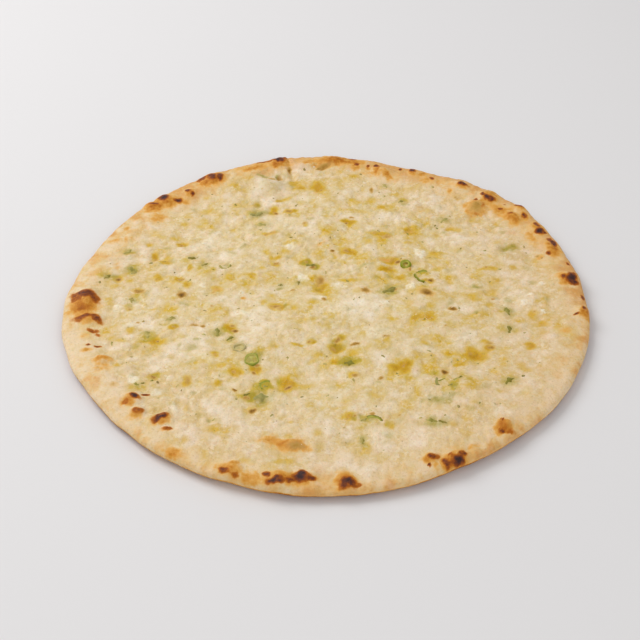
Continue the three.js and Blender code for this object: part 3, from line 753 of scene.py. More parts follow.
class Number:
    """A socket that carries one number, and to which Python's operators add Math nodes."""

    def __init__(self, graph: "Graph", socket: bpy.types.NodeSocket) -> None:
        """Wraps a socket of a graph."""
        self.graph = graph
        self.socket = socket

    def _math(
        self, operation: str, first: "Number | float", second: "Number | float", clamp: bool = False
    ) -> "Number":
        """Adds one Math node.

        Args:
            operation: What the node works out.
            first: Its first number.
            second: Its second number.
            clamp: Whether to keep its result from 0 to 1.

        Returns:
            Its result.
        """
        settings = {"operation": operation, "use_clamp": clamp}
        node = self.graph.node("ShaderNodeMath", settings, {0: first, 1: second})
        return Number(self.graph, node.outputs[0])

    def __add__(self, other: "Number | float") -> "Number":
        """Adds."""
        return self._math("ADD", self, other)

    def __radd__(self, other: "Number | float") -> "Number":
        """Adds, the other way round."""
        return self._math("ADD", other, self)

    def __sub__(self, other: "Number | float") -> "Number":
        """Takes away."""
        return self._math("SUBTRACT", self, other)

    def __rsub__(self, other: "Number | float") -> "Number":
        """Is taken away."""
        return self._math("SUBTRACT", other, self)

    def __mul__(self, other: "Number | float") -> "Number":
        """Multiplies."""
        return self._math("MULTIPLY", self, other)

    def __rmul__(self, other: "Number | float") -> "Number":
        """Multiplies, the other way round."""
        return self._math("MULTIPLY", other, self)

    def clamped(self) -> "Number":
        """Keeps the number from 0 to 1."""
        return self._math("ADD", self, 0.0, clamp=True)

    def eased(self, low: float, high: float) -> "Number":
        """Eases the number.

        Args:
            low: Where the result leaves 0.
            high: Where it reaches 1.

        Returns:
            A number from 0 to 1.
        """
        settings = {"interpolation_type": "SMOOTHSTEP", "clamp": True}
        inputs = {"Value": self, "From Min": low, "From Max": high}
        return Number(self.graph, self.graph.node("ShaderNodeMapRange", settings, inputs).outputs["Result"])


class Graph:
    """One material and the nodes in it."""

    # The Mix node's sockets for colours, which share their names with those for numbers.
    MIX_SHARE, MIX_LOW, MIX_HIGH, MIXED = 0, 6, 7, 2

    def __init__(self, name: str) -> None:
        """Makes an empty material.

        Args:
            name: The material's name.
        """
        self.material = bpy.data.materials.new(name)
        self.material.use_nodes = True
        self.tree = self.material.node_tree
        self.tree.nodes.clear()
        self.place = self.node("ShaderNodeTexCoord", {}, {}).outputs["Object"]

    def node(self, kind: str, settings: dict, inputs: dict) -> bpy.types.Node:
        """Adds a node of any type.

        Args:
            kind: The node's type.
            settings: Its settings, which are set first. The stops of a ramp are a list of place and colour.
            inputs: For each socket, by name or number, a value or what to link to it.

        Returns:
            The node.
        """
        node = self.tree.nodes.new(kind)
        for name, value in settings.items():
            if name == "stops":
                self._set_stops(node.color_ramp, value)
            else:
                setattr(node, name, value)
        for key, value in inputs.items():
            source = value.socket if isinstance(value, Number) else value
            if isinstance(source, bpy.types.NodeSocket):
                self.tree.links.new(source, node.inputs[key])
            else:
                node.inputs[key].default_value = source
        return node

    @staticmethod
    def _set_stops(ramp: bpy.types.ColorRamp, stops: Stops) -> None:
        """Gives a colour ramp its stops.

        Args:
            ramp: The ramp.
            stops: Place and colour of each stop.
        """
        while len(ramp.elements) < len(stops):
            ramp.elements.new(0.5)
        for element, (place, colour) in zip(ramp.elements, stops):
            element.position = place
            element.color = colour

    def attribute(self, name: str) -> Number:
        """Reads a number that the mesh holds for each point."""
        node = self.node("ShaderNodeAttribute", {"attribute_name": name}, {})
        return Number(self, node.outputs["Fac"])

    def noise(self, size: float, detail: float = 2.0, roughness: float = 0.5) -> Number:
        """Makes random patches from 0 to 1, about as wide as their size in millimetres."""
        inputs = {"Vector": self.place, "Scale": 1 / (size * MM), "Detail": detail, "Roughness": roughness}
        return Number(self, self.node("ShaderNodeTexNoise", {}, inputs).outputs["Fac"])

    def patches(self, size: float, detail: float = 2.0) -> Number:
        """The same random patches, but from -0.5 to 0.5."""
        return self.noise(size, detail) - 0.5

    def curds(self, size: float) -> Number:
        """Makes small cells, each of one shade.

        Args:
            size: About how wide a cell is, in millimetres.

        Returns:
            Numbers from 0 to 1, the same all over a cell.
        """
        node = self.node("ShaderNodeTexVoronoi", {}, {"Vector": self.place, "Scale": 1 / (size * MM)})
        parts = self.node("ShaderNodeSeparateColor", {}, {"Color": node.outputs["Color"]})
        return Number(self, parts.outputs["Red"])

    def mix(self, low: Paint, high: Paint, share: Number) -> bpy.types.NodeSocket:
        """Mixes two colours by a share from 0 to 1."""
        inputs = {self.MIX_SHARE: share, self.MIX_LOW: low, self.MIX_HIGH: high}
        return self.node("ShaderNodeMix", {"data_type": "RGBA"}, inputs).outputs[self.MIXED]

    def ramp(self, share: Number, stops: Stops) -> bpy.types.NodeSocket:
        """Reads a colour off a row of stops."""
        return self.node("ShaderNodeValToRGB", {"stops": stops}, {"Fac": share}).outputs["Color"]

    def bump(self, height: Number, depth: float) -> bpy.types.NodeSocket:
        """Turns heights from 0 to 1 into a bumpy normal, where 1 stands for a depth in millimetres."""
        node = self.node("ShaderNodeBump", {}, {"Height": height, "Distance": depth * MM, "Strength": 1.0})
        return node.outputs["Normal"]

    def shade(self, inputs: dict) -> bpy.types.Material:
        """Ends the material in one Principled shader.

        Args:
            inputs: The shader's sockets, with a value or what to link to each.

        Returns:
            The material.
        """
        shader = self.node("ShaderNodeBsdfPrincipled", {}, inputs)
        self.node("ShaderNodeOutputMaterial", {}, {"Surface": shader.outputs["BSDF"]})
        return self.material


# ---- Finishes ----


@dataclass(frozen=True)
class BreadFinish:
    """Baked dough, its topping, and everything that stained or browned them.

    Args:
        cheese: The topping, from its palest crumbs to where oil stands in it.
        amber: Oil that browned.
        herbal: Oil that took up green from the herbs.
        cooked: Cheese and garlic that caught, and painted shade in the creases round the pinch.
        crust: The bare rim, from where it hardly coloured to where it turned golden.
        toast_and_edge_shade: Dough from first colour to brown, and the line under the edge, partly painted
            shade.
        char: Scorched dough, from its orange fringe to its ashen middle.
        sage: A leaf seen through cheese, and painted shade in two creases.
        olive: A leaf seen through oil, and painted shade in two creases.
        warm_shade: What the topping turns to near the rim, at the right and in front: a warmer tint with
            painted shade.
        blush: A faint warm tint that comes and goes.
        moss: A faint green tint that comes and goes.
        chalk: The palest curds.
        shade: Painted shade: dark flecks, spread at random, for the shadows between curds.
        underside: The side that lay on the oven floor.
        roughness: How matt the dry bread is.
        sheen: How much less matt it is under oil.
        relief: Depth of the finest unevenness, in millimetres.
        specular: How strongly the surface mirrors light.
        glow: Share of the light that the bread lets in.
        glow_reach: How far that light spreads, in millimetres.
        glow_tint: How far its red, green and blue spread beside one another.
    """

    cheese: Stops = (
        (0.0, linear(243, 227, 201)),
        (0.2, linear(237, 217, 185)),
        (0.4, linear(228, 204, 158)),
        (0.55, linear(222, 196, 140)),
        (0.7, linear(219, 188, 110)),
        (0.82, linear(218, 182, 66)),
        (0.92, linear(212, 170, 24)),
        (1.0, linear(198, 151, 0)),
    )
    amber: Colour = linear(206, 148, 36)
    herbal: Colour = linear(178, 160, 40)
    cooked: Stops = (
        (0.15, linear(218, 179, 109)),
        (0.4, linear(190, 145, 64)),
        (0.7, linear(148, 105, 33)),
        (1.0, linear(99, 67, 17)),
    )
    crust: Stops = (
        (0.0, linear(237, 214, 176)),
        (0.35, linear(232, 203, 150)),
        (0.7, linear(228, 184, 116)),
        (1.0, linear(217, 160, 84)),
    )
    toast_and_edge_shade: Stops = (
        (0.1, linear(234, 198, 136)),
        (0.3, linear(225, 169, 84)),
        (0.5, linear(207, 139, 44)),
        (0.7, linear(184, 109, 16)),
        (1.0, linear(150, 78, 2)),
    )
    char: Stops = (
        (0.1, linear(217, 151, 64)),
        (0.3, linear(188, 109, 16)),
        (0.5, linear(154, 80, 12)),
        (0.7, linear(116, 56, 22)),
        (0.85, linear(90, 48, 36)),
        (1.0, linear(62, 36, 34)),
    )
    sage: Colour = linear(176, 166, 92)
    olive: Colour = linear(160, 142, 46)
    warm_shade: Colour = linear(214, 152, 102)
    blush: Colour = linear(238, 204, 166)
    moss: Colour = linear(204, 196, 132)
    chalk: Colour = linear(250, 238, 212)
    shade: Colour = linear(178, 148, 96)
    underside: Colour = linear(222, 190, 138)
    roughness: float = 0.56
    sheen: float = 0.24
    relief: float = 0.6
    specular: float = 0.22
    glow: float = 0.12
    glow_reach: float = 0.8
    glow_tint: Point = (1.0, 0.55, 0.3)

    def material(self) -> bpy.types.Material:
        """Makes the material.

        Returns:
            The material.
        """
        graph = Graph("baked_naan")
        fine = graph.patches(1.7, 3)
        oil = graph.attribute("oil")
        colour = self._topping(graph, fine)
        colour = self._curds(graph, colour, fine, oil)
        colour = self._leaves_and_crease_shade(graph, colour, fine, oil)
        colour = graph.mix(colour, self.underside, graph.attribute("beneath"))
        colour = self._browning(graph, colour, fine)
        roughness = self.roughness + 0.16 * graph.patches(2.4) - self.sheen * oil.eased(0.25, 0.9)
        height = 0.6 * graph.noise(1.2, 2) + 0.4 * graph.noise(0.5, 2)
        return graph.shade({
            "Base Color": colour,
            "Roughness": roughness.clamped(),
            "Normal": graph.bump(height, self.relief),
            "Specular IOR Level": self.specular,
            "Subsurface Weight": self.glow,
            "Subsurface Radius": self.glow_tint,
            "Subsurface Scale": self.glow_reach * MM,
        })

    def _topping(self, graph: Graph, fine: Number) -> bpy.types.NodeSocket:
        """Colours the cheese and its oil, and the bare rim round them.

        Args:
            graph: The material.
            fine: Its finest patches.

        Returns:
            The colour.
        """
        yellow = graph.attribute("yellow") + 0.07 * fine + 0.03 * (graph.curds(1.9) - 0.5)
        soaked = yellow.eased(0.6, 0.95)
        green = (graph.attribute("herbal") + 1.1 * graph.patches(9)).eased(0.05, 0.7)
        colour = graph.ramp(yellow.clamped(), self.cheese)
        colour = graph.mix(colour, self.herbal, soaked * green * 0.72)
        colour = graph.mix(colour, self.amber, soaked * (1 - green) * 0.14)
        golden = graph.attribute("golden") + 0.9 * fine + 0.5 * graph.patches(3.6)
        colour = graph.mix(graph.ramp(golden.clamped(), self.crust), colour, graph.attribute("topped"))
        # Warmer tint, with painted shade at the right and in front where less light falls.
        colour = graph.mix(colour, self.warm_shade, graph.attribute("warm") * 0.17)
        dry = 1 - 0.8 * soaked
        colour = graph.mix(colour, self.blush, graph.noise(4.5).eased(0.5, 0.75) * dry * 0.4)
        return graph.mix(colour, self.moss, graph.noise(6).eased(0.5, 0.75) * dry * 0.16)

    def _curds(
        self, graph: Graph, colour: bpy.types.NodeSocket, fine: Number, oil: Number
    ) -> bpy.types.NodeSocket:
        """Lays pale curds on a colour, and dark flecks of painted shade for the shadows between them.

        Args:
            graph: The material.
            colour: What they lie on.
            fine: Its finest patches.
            oil: Where oil stands.

        Returns:
            The colour.
        """
        pale = graph.attribute("pale")
        chalky = graph.curds(1.4).eased(0.5, 0.9) * (0.2 + graph.noise(9).eased(0.5, 0.8) * 0.25)
        chalky = chalky * (1 - oil) * graph.attribute("topped") + (pale + 2 * pale * fine).clamped() * 0.75
        colour = graph.mix(colour, self.chalk, chalky.clamped())
        # Painted shade: dark flecks for the shadows between curds.
        return graph.mix(colour, self.shade, graph.noise(1.0).eased(0.52, 0.8) * 0.4)

    def _leaves_and_crease_shade(
        self, graph: Graph, colour: bpy.types.NodeSocket, fine: Number, oil: Number
    ) -> bpy.types.NodeSocket:
        """Lets leaves show through a colour, and lays painted shade in two creases.

        Args:
            graph: The material.
            colour: What covers them.
            fine: Its finest patches.
            oil: Where oil stands.

        Returns:
            The colour.
        """
        # Leaves under cheese, and painted shade in two creases.
        veiled = graph.attribute("veiled")
        leaf_and_crease_shade = graph.mix(self.sage, self.olive, (1.6 * graph.patches(5) + 0.45 + oil).clamped())
        return graph.mix(colour, leaf_and_crease_shade, (veiled + 1.4 * veiled * fine).clamped())

    def _browning(self, graph: Graph, colour: bpy.types.NodeSocket, fine: Number) -> bpy.types.NodeSocket:
        """Lays on a colour what toasted, caught and scorched, with painted shade in creases and under the
        edge.

        Args:
            graph: The material.
            colour: What they lie on.
            fine: Its finest patches.

        Returns:
            The colour.
        """
        # Toast, and a line under the edge that is partly painted shade.
        toast_and_edge_shade = graph.attribute("toasted")
        toast_and_edge_shade = (toast_and_edge_shade + toast_and_edge_shade * (1.1 * fine + 0.9 * graph.patches(3.2, 3))).clamped()
        colour = graph.mix(colour, graph.ramp(toast_and_edge_shade, self.toast_and_edge_shade), toast_and_edge_shade.eased(0.03, 0.35))
        # Caught cheese and garlic, and painted shade in the creases round the pinch.
        cooked = graph.attribute("cooked")
        cooked = (cooked + 0.8 * cooked * fine).clamped()
        colour = graph.mix(colour, graph.ramp(cooked, self.cooked), cooked.eased(0.03, 0.4))
        char = graph.attribute("scorched")
        char = (char + char.eased(0.1, 0.6) * (0.8 * fine + 0.6 * graph.patches(3))).clamped()
        return graph.mix(colour, graph.ramp(char, self.char), char.eased(0.05, 0.35))


@dataclass(frozen=True)
class GreenFinish:
    """Cut onion or herb, with its own shade of green on each piece.

    Args:
        name: The material's name.
        dull: The least green shade.
        fresh: The greenest shade.
        inside: What a cut shows inside.
        waxy: The pale bloom on the outside of a leaf.
        cheese: What melted over it.
        roughness: How matt it is.
        specular: How strongly it mirrors light.
        relief: Depth of its finest unevenness, in millimetres.
    """

    name: str
    dull: Colour
    fresh: Colour
    inside: Colour
    waxy: Colour = linear(160, 154, 92)
    cheese: Colour = linear(214, 192, 120)
    roughness: float = 0.45
    specular: float = 0.15
    relief: float = 0.12

    def material(self) -> bpy.types.Material:
        """Makes the material.

        Returns:
            The material.
        """
        graph = Graph(self.name)
        green = (graph.attribute("tone") + 1.3 * graph.patches(1.6, 3)).clamped()
        colour = graph.mix(self.dull, self.fresh, green)
        colour = graph.mix(colour, self.inside, graph.attribute("inside"))
        colour = graph.mix(colour, self.waxy, (graph.attribute("waxy") + 0.5 * graph.patches(3)).clamped())
        veil = (graph.attribute("veil") + 1.1 * graph.patches(2.4)).eased(0.1, 0.9)
        colour = graph.mix(colour, self.cheese, veil * 0.85)
        return graph.shade({
            "Base Color": colour,
            "Roughness": (self.roughness + 0.15 * graph.patches(0.8)).clamped(),
            "Normal": graph.bump(graph.noise(0.6), self.relief),
            "Specular IOR Level": self.specular,
        })


@dataclass(frozen=True)
class FloorFinish:
    """A plain pale floor.

    Args:
        colour: The floor's colour.
        roughness: How matt it is.
        specular: How strongly it mirrors light.
    """

    colour: Colour = linear(226, 224, 224)
    roughness: float = 0.7
    specular: float = 0.2

    def material(self) -> bpy.types.Material:
        """Makes the material."""
        looks = {"Roughness": self.roughness, "Specular IOR Level": self.specular}
        return Graph("pale_floor").shade({"Base Color": self.colour} | looks)


# ---- Meshes ----


def finished_object(name: str, mesh: bpy.types.Mesh, material: bpy.types.Material) -> bpy.types.Object:
    """Makes a smooth piece of a mesh that already lies in the frame.

    Args:
        name: The piece's name.
        mesh: Its mesh, in metres.
        material: Its only material.

    Returns:
        The piece, at the origin, riding on the bread's body.
    """
    mesh.name = name
    mesh.materials.append(material)
    mesh.shade_smooth()
    piece = bpy.data.objects.new(name, mesh)
    bpy.context.scene.collection.objects.link(piece)
    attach(piece, BODY)
    return piece


def read_points(mesh: bpy.types.Mesh) -> np.ndarray:
    """Reads the places of a mesh's points.

    Args:
        mesh: The mesh.

    Returns:
        One row for each point.
    """
    flat = np.empty(len(mesh.vertices) * 3)
    mesh.vertices.foreach_get("co", flat)
    return flat.reshape(-1, 3)


def write_points(mesh: bpy.types.Mesh, points: np.ndarray) -> None:
    """Moves a mesh's points to new places, one row each."""
    mesh.vertices.foreach_set("co", points.astype(np.float32).ravel())
    mesh.update()


def write_numbers(mesh: bpy.types.Mesh, name: str, numbers: np.ndarray) -> None:
    """Gives each point of a mesh a number, for a material to read."""
    attribute = mesh.attributes.new(name, "FLOAT", "POINT")
    attribute.data.foreach_set("value", numbers.astype(np.float32))


@dataclass(frozen=True)
class Browning:
    """One way in which the oven's heat marks the top; the same falloff lays painted shade in creases.

    Args:
        outer: Where a mark starts, with its place's outline at 1.
        inner: Where it is full.
        rough: How ragged it is.
        power: How quickly it fades from its middle.
        wander: Layers by which its outline wanders.
        mottle: Layers of its paler and darker patches.
    """

    outer: float
    inner: float
    rough: float
    power: float
    wander: tuple[Layer, ...] = ((2.8, 4.2, 81), (1.6, 2.0, 83))
    mottle: tuple[Layer, ...] = ((1.0, 2.5, 87), (0.8, 1.6, 88))

    def marks(self, x: np.ndarray, y: np.ndarray, places: list[Spot]) -> np.ndarray:
        """How brown places make the top.

        Args:
            x: Points, to the right.
            y: Points, to the back.
            places: The marks. The strength is how brown each is.

        Returns:
            Brown from 0 to 1.
        """
        dx, dy = wander(x, y, *self.wander)
        mottle = layered(x, y, *self.mottle)
        brown = np.zeros_like(x)
        for spot in places:
            pull = min(0.8, spot.breadth() / 11)
            reach = spot.reach(x + pull * dx, y + pull * dy)
            near = reach < 2.4
            fall = smoothstep(reach[near] + self.rough * mottle[near], self.outer, self.inner)
            mark = spot.strength * fall**self.power * (1 + 0.6 * mottle[near])
            brown[near] = np.maximum(brown[near], mark)
        return np.clip(brown, 0, 1)


TOASTING = Browning(1.9, 0.0, 0.6, 1.3)
# This one also lays painted shade in the creases round the pinch.
CATCHING_AND_CREASE_SHADING = Browning(1.7, 0.0, 0.3, 1.4)
SCORCHING = Browning(1.85, 0.3, 0.6, 2.2)


@dataclass
class Bread:
    """The dough with its melted topping, as one closed skin.

    A square block of dough is pressed out to the round: its top becomes the bread's top, its walls the
    rolled edge, and its base the underside.

    Args:
        form: The bread's shape.
        placing: Where it lies.
        finish: How it looks.
        top_cuts: Squares along each side of the block's top.
        base_cuts: Squares along each side of its base.
        wall_rows: Rows of squares up its walls.
        base_share: How far out the base's squares reach before they meet the walls.
        level: How far from the top or the base a point still counts as on it.
        seed: Of where oil and leaves are.
    """

    form: Form
    placing: Placing
    finish: BreadFinish = field(default_factory=BreadFinish)
    top_cuts: int = 276
    base_cuts: int = 92
    wall_rows: int = 10
    base_share: float = 0.97
    level: float = 1e-4
    seed: int = 21

    def build(self) -> bpy.types.Object:
        """Makes the bread.

        Returns:
            The piece.
        """
        mesh = self._block()
        block = read_points(mesh)
        points = self._press(block)
        self._paint(mesh, block, points)
        write_points(mesh, self.placing.to_frame(points))
        piece = finished_object("naan_bread", mesh, self.finish.material())
        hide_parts(NODE)
        return piece

    def _block(self) -> bpy.types.Mesh:
        """Makes the block of dough before it is pressed out.

        Returns:
            A mesh from -1 to 1 across, with its top at 0 and its base at -1, cut into small squares.
        """
        block = bmesh.new()
        bmesh.ops.create_grid(block, x_segments=self.top_cuts, y_segments=self.top_cuts, size=1.0)
        rim = [edge for edge in block.edges if edge.is_boundary]
        for _ in range(self.wall_rows):
            rim = self._add_row(block, rim)
        before = set(block.edges)
        base = bmesh.ops.create_grid(
            block,
            x_segments=self.base_cuts,
            y_segments=self.base_cuts,
            size=self.base_share,
            matrix=Matrix.Translation((0, 0, -1)),
        )
        base_faces = list({face for vertex in base["verts"] for face in vertex.link_faces})
        bmesh.ops.reverse_faces(block, faces=base_faces)
        inner = [edge for edge in set(block.edges) - before if edge.is_boundary]
        bmesh.ops.bridge_loops(block, edges=rim + inner)
        bmesh.ops.recalc_face_normals(block, faces=block.faces)
        mesh = bpy.data.meshes.new("block")
        block.to_mesh(mesh)
        block.free()
        return mesh

    def _add_row(self, block: bmesh.types.BMesh, rim: list[bmesh.types.BMEdge]) -> list[bmesh.types.BMEdge]:
        """Draws one row of wall down from an open rim.

        Args:
            block: The block.
            rim: The edges of its open rim.

        Returns:
            The edges of the new rim.
        """
        drawn = bmesh.ops.extrude_edge_only(block, edges=rim)["geom"]
        vertices = [item for item in drawn if isinstance(item, bmesh.types.BMVert)]
        bmesh.ops.translate(block, verts=vertices, vec=(0, 0, -1 / self.wall_rows))
        return [item for item in drawn if isinstance(item, bmesh.types.BMEdge) and item.is_boundary]

    def _press(self, block: np.ndarray) -> np.ndarray:
        """Presses the block out to the round.

        Args:
            block: Its points.

        Returns:
            Where they lie on the bread.
        """
        a, b, height = block.T
        angle, share = self._round(a, b)
        radius = self.form.outline(angle)
        flat = radius - self.form.edge_run
        roll = math.pi * -height
        beside_base = share > (1 + self.base_share) / 2
        wall = beside_base & (height > -1 + self.level) & (height < -self.level)
        r = np.where(wall, flat + self.form.edge_run * np.sin(roll), share * flat)
        inner = np.minimum(r, flat)
        x, y = inner * np.cos(angle), inner * np.sin(angle)
        high = self.form.top(x, y, radius - inner)
        low = self.form.underside(x, y, radius - inner)
        rolled = (high + low) / 2 + (high - low) / 2 * np.cos(roll)
        z = np.where(wall, rolled, np.where(height > -0.5, high, low))
        return np.stack([r * np.cos(angle), r * np.sin(angle), z], axis=1)

    @staticmethod
    def _round(a: np.ndarray, b: np.ndarray) -> tuple[np.ndarray, np.ndarray]:
        """Turns places on the square block into places on a round, square rings into circles.

        Args:
            a: Places of the points, to the right, from -1 to 1.
            b: Places of the points, to the back, from -1 to 1.

        Returns:
            The direction of each, in radians from the right, and how far out it is, from 0 to 1.
        """
        wide = np.abs(a) > np.abs(b)
        share = np.where(wide, np.abs(a), np.abs(b))
        slope = np.where(wide, b / np.where(a == 0, 1.0, a), -a / np.where(b == 0, 1.0, b))
        side = np.where(wide, np.where(a < 0, math.pi, 0), np.where(b < 0, -0.5, 0.5) * math.pi)
        angle = np.where(share > 0, math.pi / 4 * slope + side, 0.0)
        return np.arctan2(np.sin(angle), np.cos(angle)), share

    def _paint(self, mesh: bpy.types.Mesh, block: np.ndarray, points: np.ndarray) -> None:
        """Gives the mesh the numbers that its material reads.

        Args:
            mesh: The bread's mesh.
            block: Its points before the block was pressed out.
            points: Where they lie on the bread.
        """
        x, y, _ = points.T
        depth = -block[:, 2]
        inset = self.form.inset(x, y)
        upper = 1 - smoothstep(depth, 0.3, 0.7)
        herbal = self._herbal(x, y)
        yellow, oil = self._cheese_and_oil(x, y, herbal, upper)
        numbers = {
            "topped": self.form.topped(x, y, inset) * upper,
            "yellow": yellow,
            "oil": oil,
            "beneath": smoothstep(depth, 0.55, 0.95),
            "herbal": herbal,
            "pale": self._pale(x, y) * upper,
            # Warmer tint, with painted shade at the right and in front.
            "warm": self._warm_and_shaded(x, y, inset) * upper,
            # Leaves under cheese, and painted shade in two creases.
            "veiled": self._leaf_and_crease_cover(x, y) * upper,
            # Caught cheese and garlic, and painted shade in the creases round the pinch.
            "cooked": CATCHING_AND_CREASE_SHADING.marks(x, y, COOKED_AND_CREASE_SHADE + self._dregs()) * upper,
            "golden": self._golden(x, y, inset),
            # Toast, and a line under the edge that is partly painted shade.
            "toasted": self._toasting_and_edge_shade(x, y, inset, depth),
            "scorched": SCORCHING.marks(x, y, SCORCHED) * upper,
        }
        for name, values in numbers.items():
            write_numbers(mesh, name, values)

    def _cheese_and_oil(
        self, x: np.ndarray, y: np.ndarray, herbal: np.ndarray, upper: np.ndarray
    ) -> tuple[np.ndarray, np.ndarray]:
        """How yellow the topping is, and how much oil is in it.

        Args:
            x: Points, to the right.
            y: Points, to the back.
            herbal: How much green the oil took from the herbs.
            upper: 1 on the top and 0 on the underside.

        Returns:
            Both, from 0 to 1.
        """
        coarse, coarse_tone = crumbs(x, y, *self.form.coarse_crumbs)
        fine, fine_tone = crumbs(x, y, *self.form.fine_crumbs)
        between = 1 - np.clip(0.7 * coarse + 0.5 * fine, 0, 1)
        oil = self._oil(x, y, between) * upper
        tones = 0.16 * (coarse_tone - 0.5) * (coarse > 0.15) + 0.11 * (fine_tone - 0.5)
        yellow = self._clouds(x, y) + 0.16 * (between - 0.45) - tones + 0.16 * herbal**2
        return np.clip(yellow + oil * (1.0 - np.clip(yellow, 0, 1)), 0, 1), oil

    @staticmethod
    def _clouds(x: np.ndarray, y: np.ndarray) -> np.ndarray:
        """How yellow the cheese is without its oil.

        Args:
            x: Points, to the right.
            y: Points, to the back.

        Returns:
            Yellow from 0 to 1.
        """
        clouds = layered(x, y, (0.3, 17, 101), (0.34, 8, 102), (0.38, 4.3, 103), (0.15, 2.3, 104))
        right = np.exp(-(((x - 45) / 55) ** 2) - ((y + 5) / 75) ** 2)
        return 0.445 + clouds + mounds(x, y, RICHNESS) + 0.07 * right - 0.12 * Form.smooth(x, y)

    @staticmethod
    def _pale(x: np.ndarray, y: np.ndarray) -> np.ndarray:
        """Where pale lumps of curd stand out, and how pale they are, from 0 to 1."""
        dx, dy = wander(x, y, (2.4, 2.8, 61))
        return cover(x + dx, y + dy, CURDS, 0.7 * lumps(x, y, 1.7, 63), 1.2, 0.4)

    @staticmethod
    def _herbal(x: np.ndarray, y: np.ndarray) -> np.ndarray:
        """How much green the oil took from the herbs beside it, from 0 to 1."""
        herbs = [Spot(px, py, 2, 2) for px, py, *_ in RINGS + CURLS + LEAVES]
        return cover(x, y, herbs, 0.0, 8, 2)

    @staticmethod
    def _warm_and_shaded(x: np.ndarray, y: np.ndarray, inset: np.ndarray) -> np.ndarray:
        """Warmer tint near the rim, at the right and in front, with painted shade at the right and in front;
        0 to 1.
        """
        right_and_near = 0.5 * smoothstep(x, 10, 110) + 0.2 * smoothstep(-y, 40, 100)
        return np.clip(0.55 * smoothstep(inset, 60, 15) + right_and_near, 0, 1)

    def _oil(self, x: np.ndarray, y: np.ndarray, between: np.ndarray) -> np.ndarray:
        """How much oil there is: in patches, and everywhere a little between the crumbs.

        Args:
            x: Points, to the right.
            y: Points, to the back.
            between: 1 between the crumbs and 0 on them.

        Returns:
            Oil from 0 to 1.
        """
        dx, dy = wander(x, y, (4, 5, 71), (2, 2.5, 68))
        ragged = 0.5 * lumps(x, y, 2.6, 73)
        oil = np.zeros_like(x)
        for patch in OILED + self._drips():
            pull = min(1.0, patch.breadth() / 12)
            reach = patch.reach(x + pull * dx, y + pull * dy) + ragged
            deep = 1 - (1 - patch.strength) ** 2.3
            oil = np.maximum(oil, deep * smoothstep(reach, 1.6, 0.4))
        return np.clip(oil * (0.85 + 0.3 * between), 0, 1)

    def _drips(self) -> list[Spot]:
        """Small places, spread over the topping, where oil came up.

        Returns:
            The places. The strength is how much oil each has.
        """
        draw = np.random.default_rng(self.seed)
        drips = []
        for x, y in self.form.spread(draw, step=17, edge=16):
            size, strength = draw.uniform(2.0, 5.5), draw.uniform(0.1, 0.3)
            drips.append(Spot(x, y, size * draw.uniform(1, 1.8), size, draw.uniform(-40, 40), strength))
        return drips

    def _dregs(self) -> list[Spot]:
        """Dark dregs in the oil.

        Returns:
            Their places. The strength is how brown each is.
        """
        draw = np.random.default_rng(self.seed + 2)
        dregs = []
        for patch in OILED:
            x = patch.x + patch.length * draw.uniform(-0.35, 0.35)
            y = patch.y + patch.width * draw.uniform(-0.35, 0.35)
            size = 2 * draw.uniform(0.6, 1.5)
            length, turn = size * draw.uniform(1, 1.8), draw.uniform(-30, 40)
            dregs.append(Spot(x, y, length, size, turn, patch.strength * draw.uniform(0.3, 1)))
        return dregs

    def _leaf_and_crease_cover(self, x: np.ndarray, y: np.ndarray) -> np.ndarray:
        """Where leaves show through the cheese, with painted shade in two creases, and how plainly, from 0
        to 1.
        """
        dx, dy = wander(x, y, (2.4, 3.4, 66))
        return cover(x + dx, y + dy, VEILED_AND_CREASE_SHADE + self._leaves_beneath(), 0.8 * lumps(x, y, 2.2, 76), 1.5, 0.1)

    def _leaves_beneath(self) -> list[Spot]:
        """The edges of the leaves that lie on the topping, and small bits spread within it.

        Returns:
            The places. The strength is how plainly each shows.
        """
        draw = np.random.default_rng(self.seed + 1)
        leaves = [Spot(x, y, 1.3 * length, length, turn, 0.6) for x, y, length, turn, *_ in LEAVES]
        for x, y in self.form.spread(draw, step=14, edge=20):
            size = draw.uniform(1.8, 4.2)
            length, turn = size * draw.uniform(1, 1.7), draw.uniform(-60, 60)
            leaves.append(Spot(x, y, length, size, turn, draw.uniform(0.05, 0.5)))
        return leaves

    @staticmethod
    def _golden(x: np.ndarray, y: np.ndarray, inset: np.ndarray) -> np.ndarray:
        """How golden the bare rim turned: least at the left, most at the far right and along the very edge.

        Args:
            x: Points, to the right.
            y: Points, to the back.
            inset: How far they are in from the outline.

        Returns:
            Gold from 0 to 1.
        """
        angle = np.degrees(np.arctan2(y, x))
        left = np.exp(-(((angle % 360 - 200) / 38) ** 2))
        near_right = np.exp(-(((angle + 30) / 22) ** 2))
        far = smoothstep(angle, -8, 12) * smoothstep(angle, 178, 135)
        farthest = np.exp(-(((angle - 92) / 30) ** 2))
        hot = 0.26 + 0.5 * smoothstep(inset, 7, 0) + 0.5 * far * smoothstep(inset, 28, 9)
        hot = hot + 0.35 * farthest * smoothstep(inset, 14, 8)
        hot = hot * (1 - 0.95 * left - 0.35 * near_right)
        return np.clip(hot + layered(x, y, (0.7, 11, 77), (0.9, 4.6, 78), (0.45, 2.4, 79)), 0, 1)

    def _toasting_and_edge_shade(self, x: np.ndarray, y: np.ndarray, inset: np.ndarray, depth: np.ndarray) -> np.ndarray:
        """How brown the dough is: toast on top, a line under the edge of toast and painted shade, and the
        underside.

        Args:
            x: Points, to the right.
            y: Points, to the back.
            inset: How far they are in from the outline.
            depth: 0 on the top, 1 on the underside and between them on the edge.

        Returns:
            Brown from 0 to 1.
        """
        marks = TOASTING.marks(x, y, TOASTED) * (1 - smoothstep(depth, 0.3, 0.7))
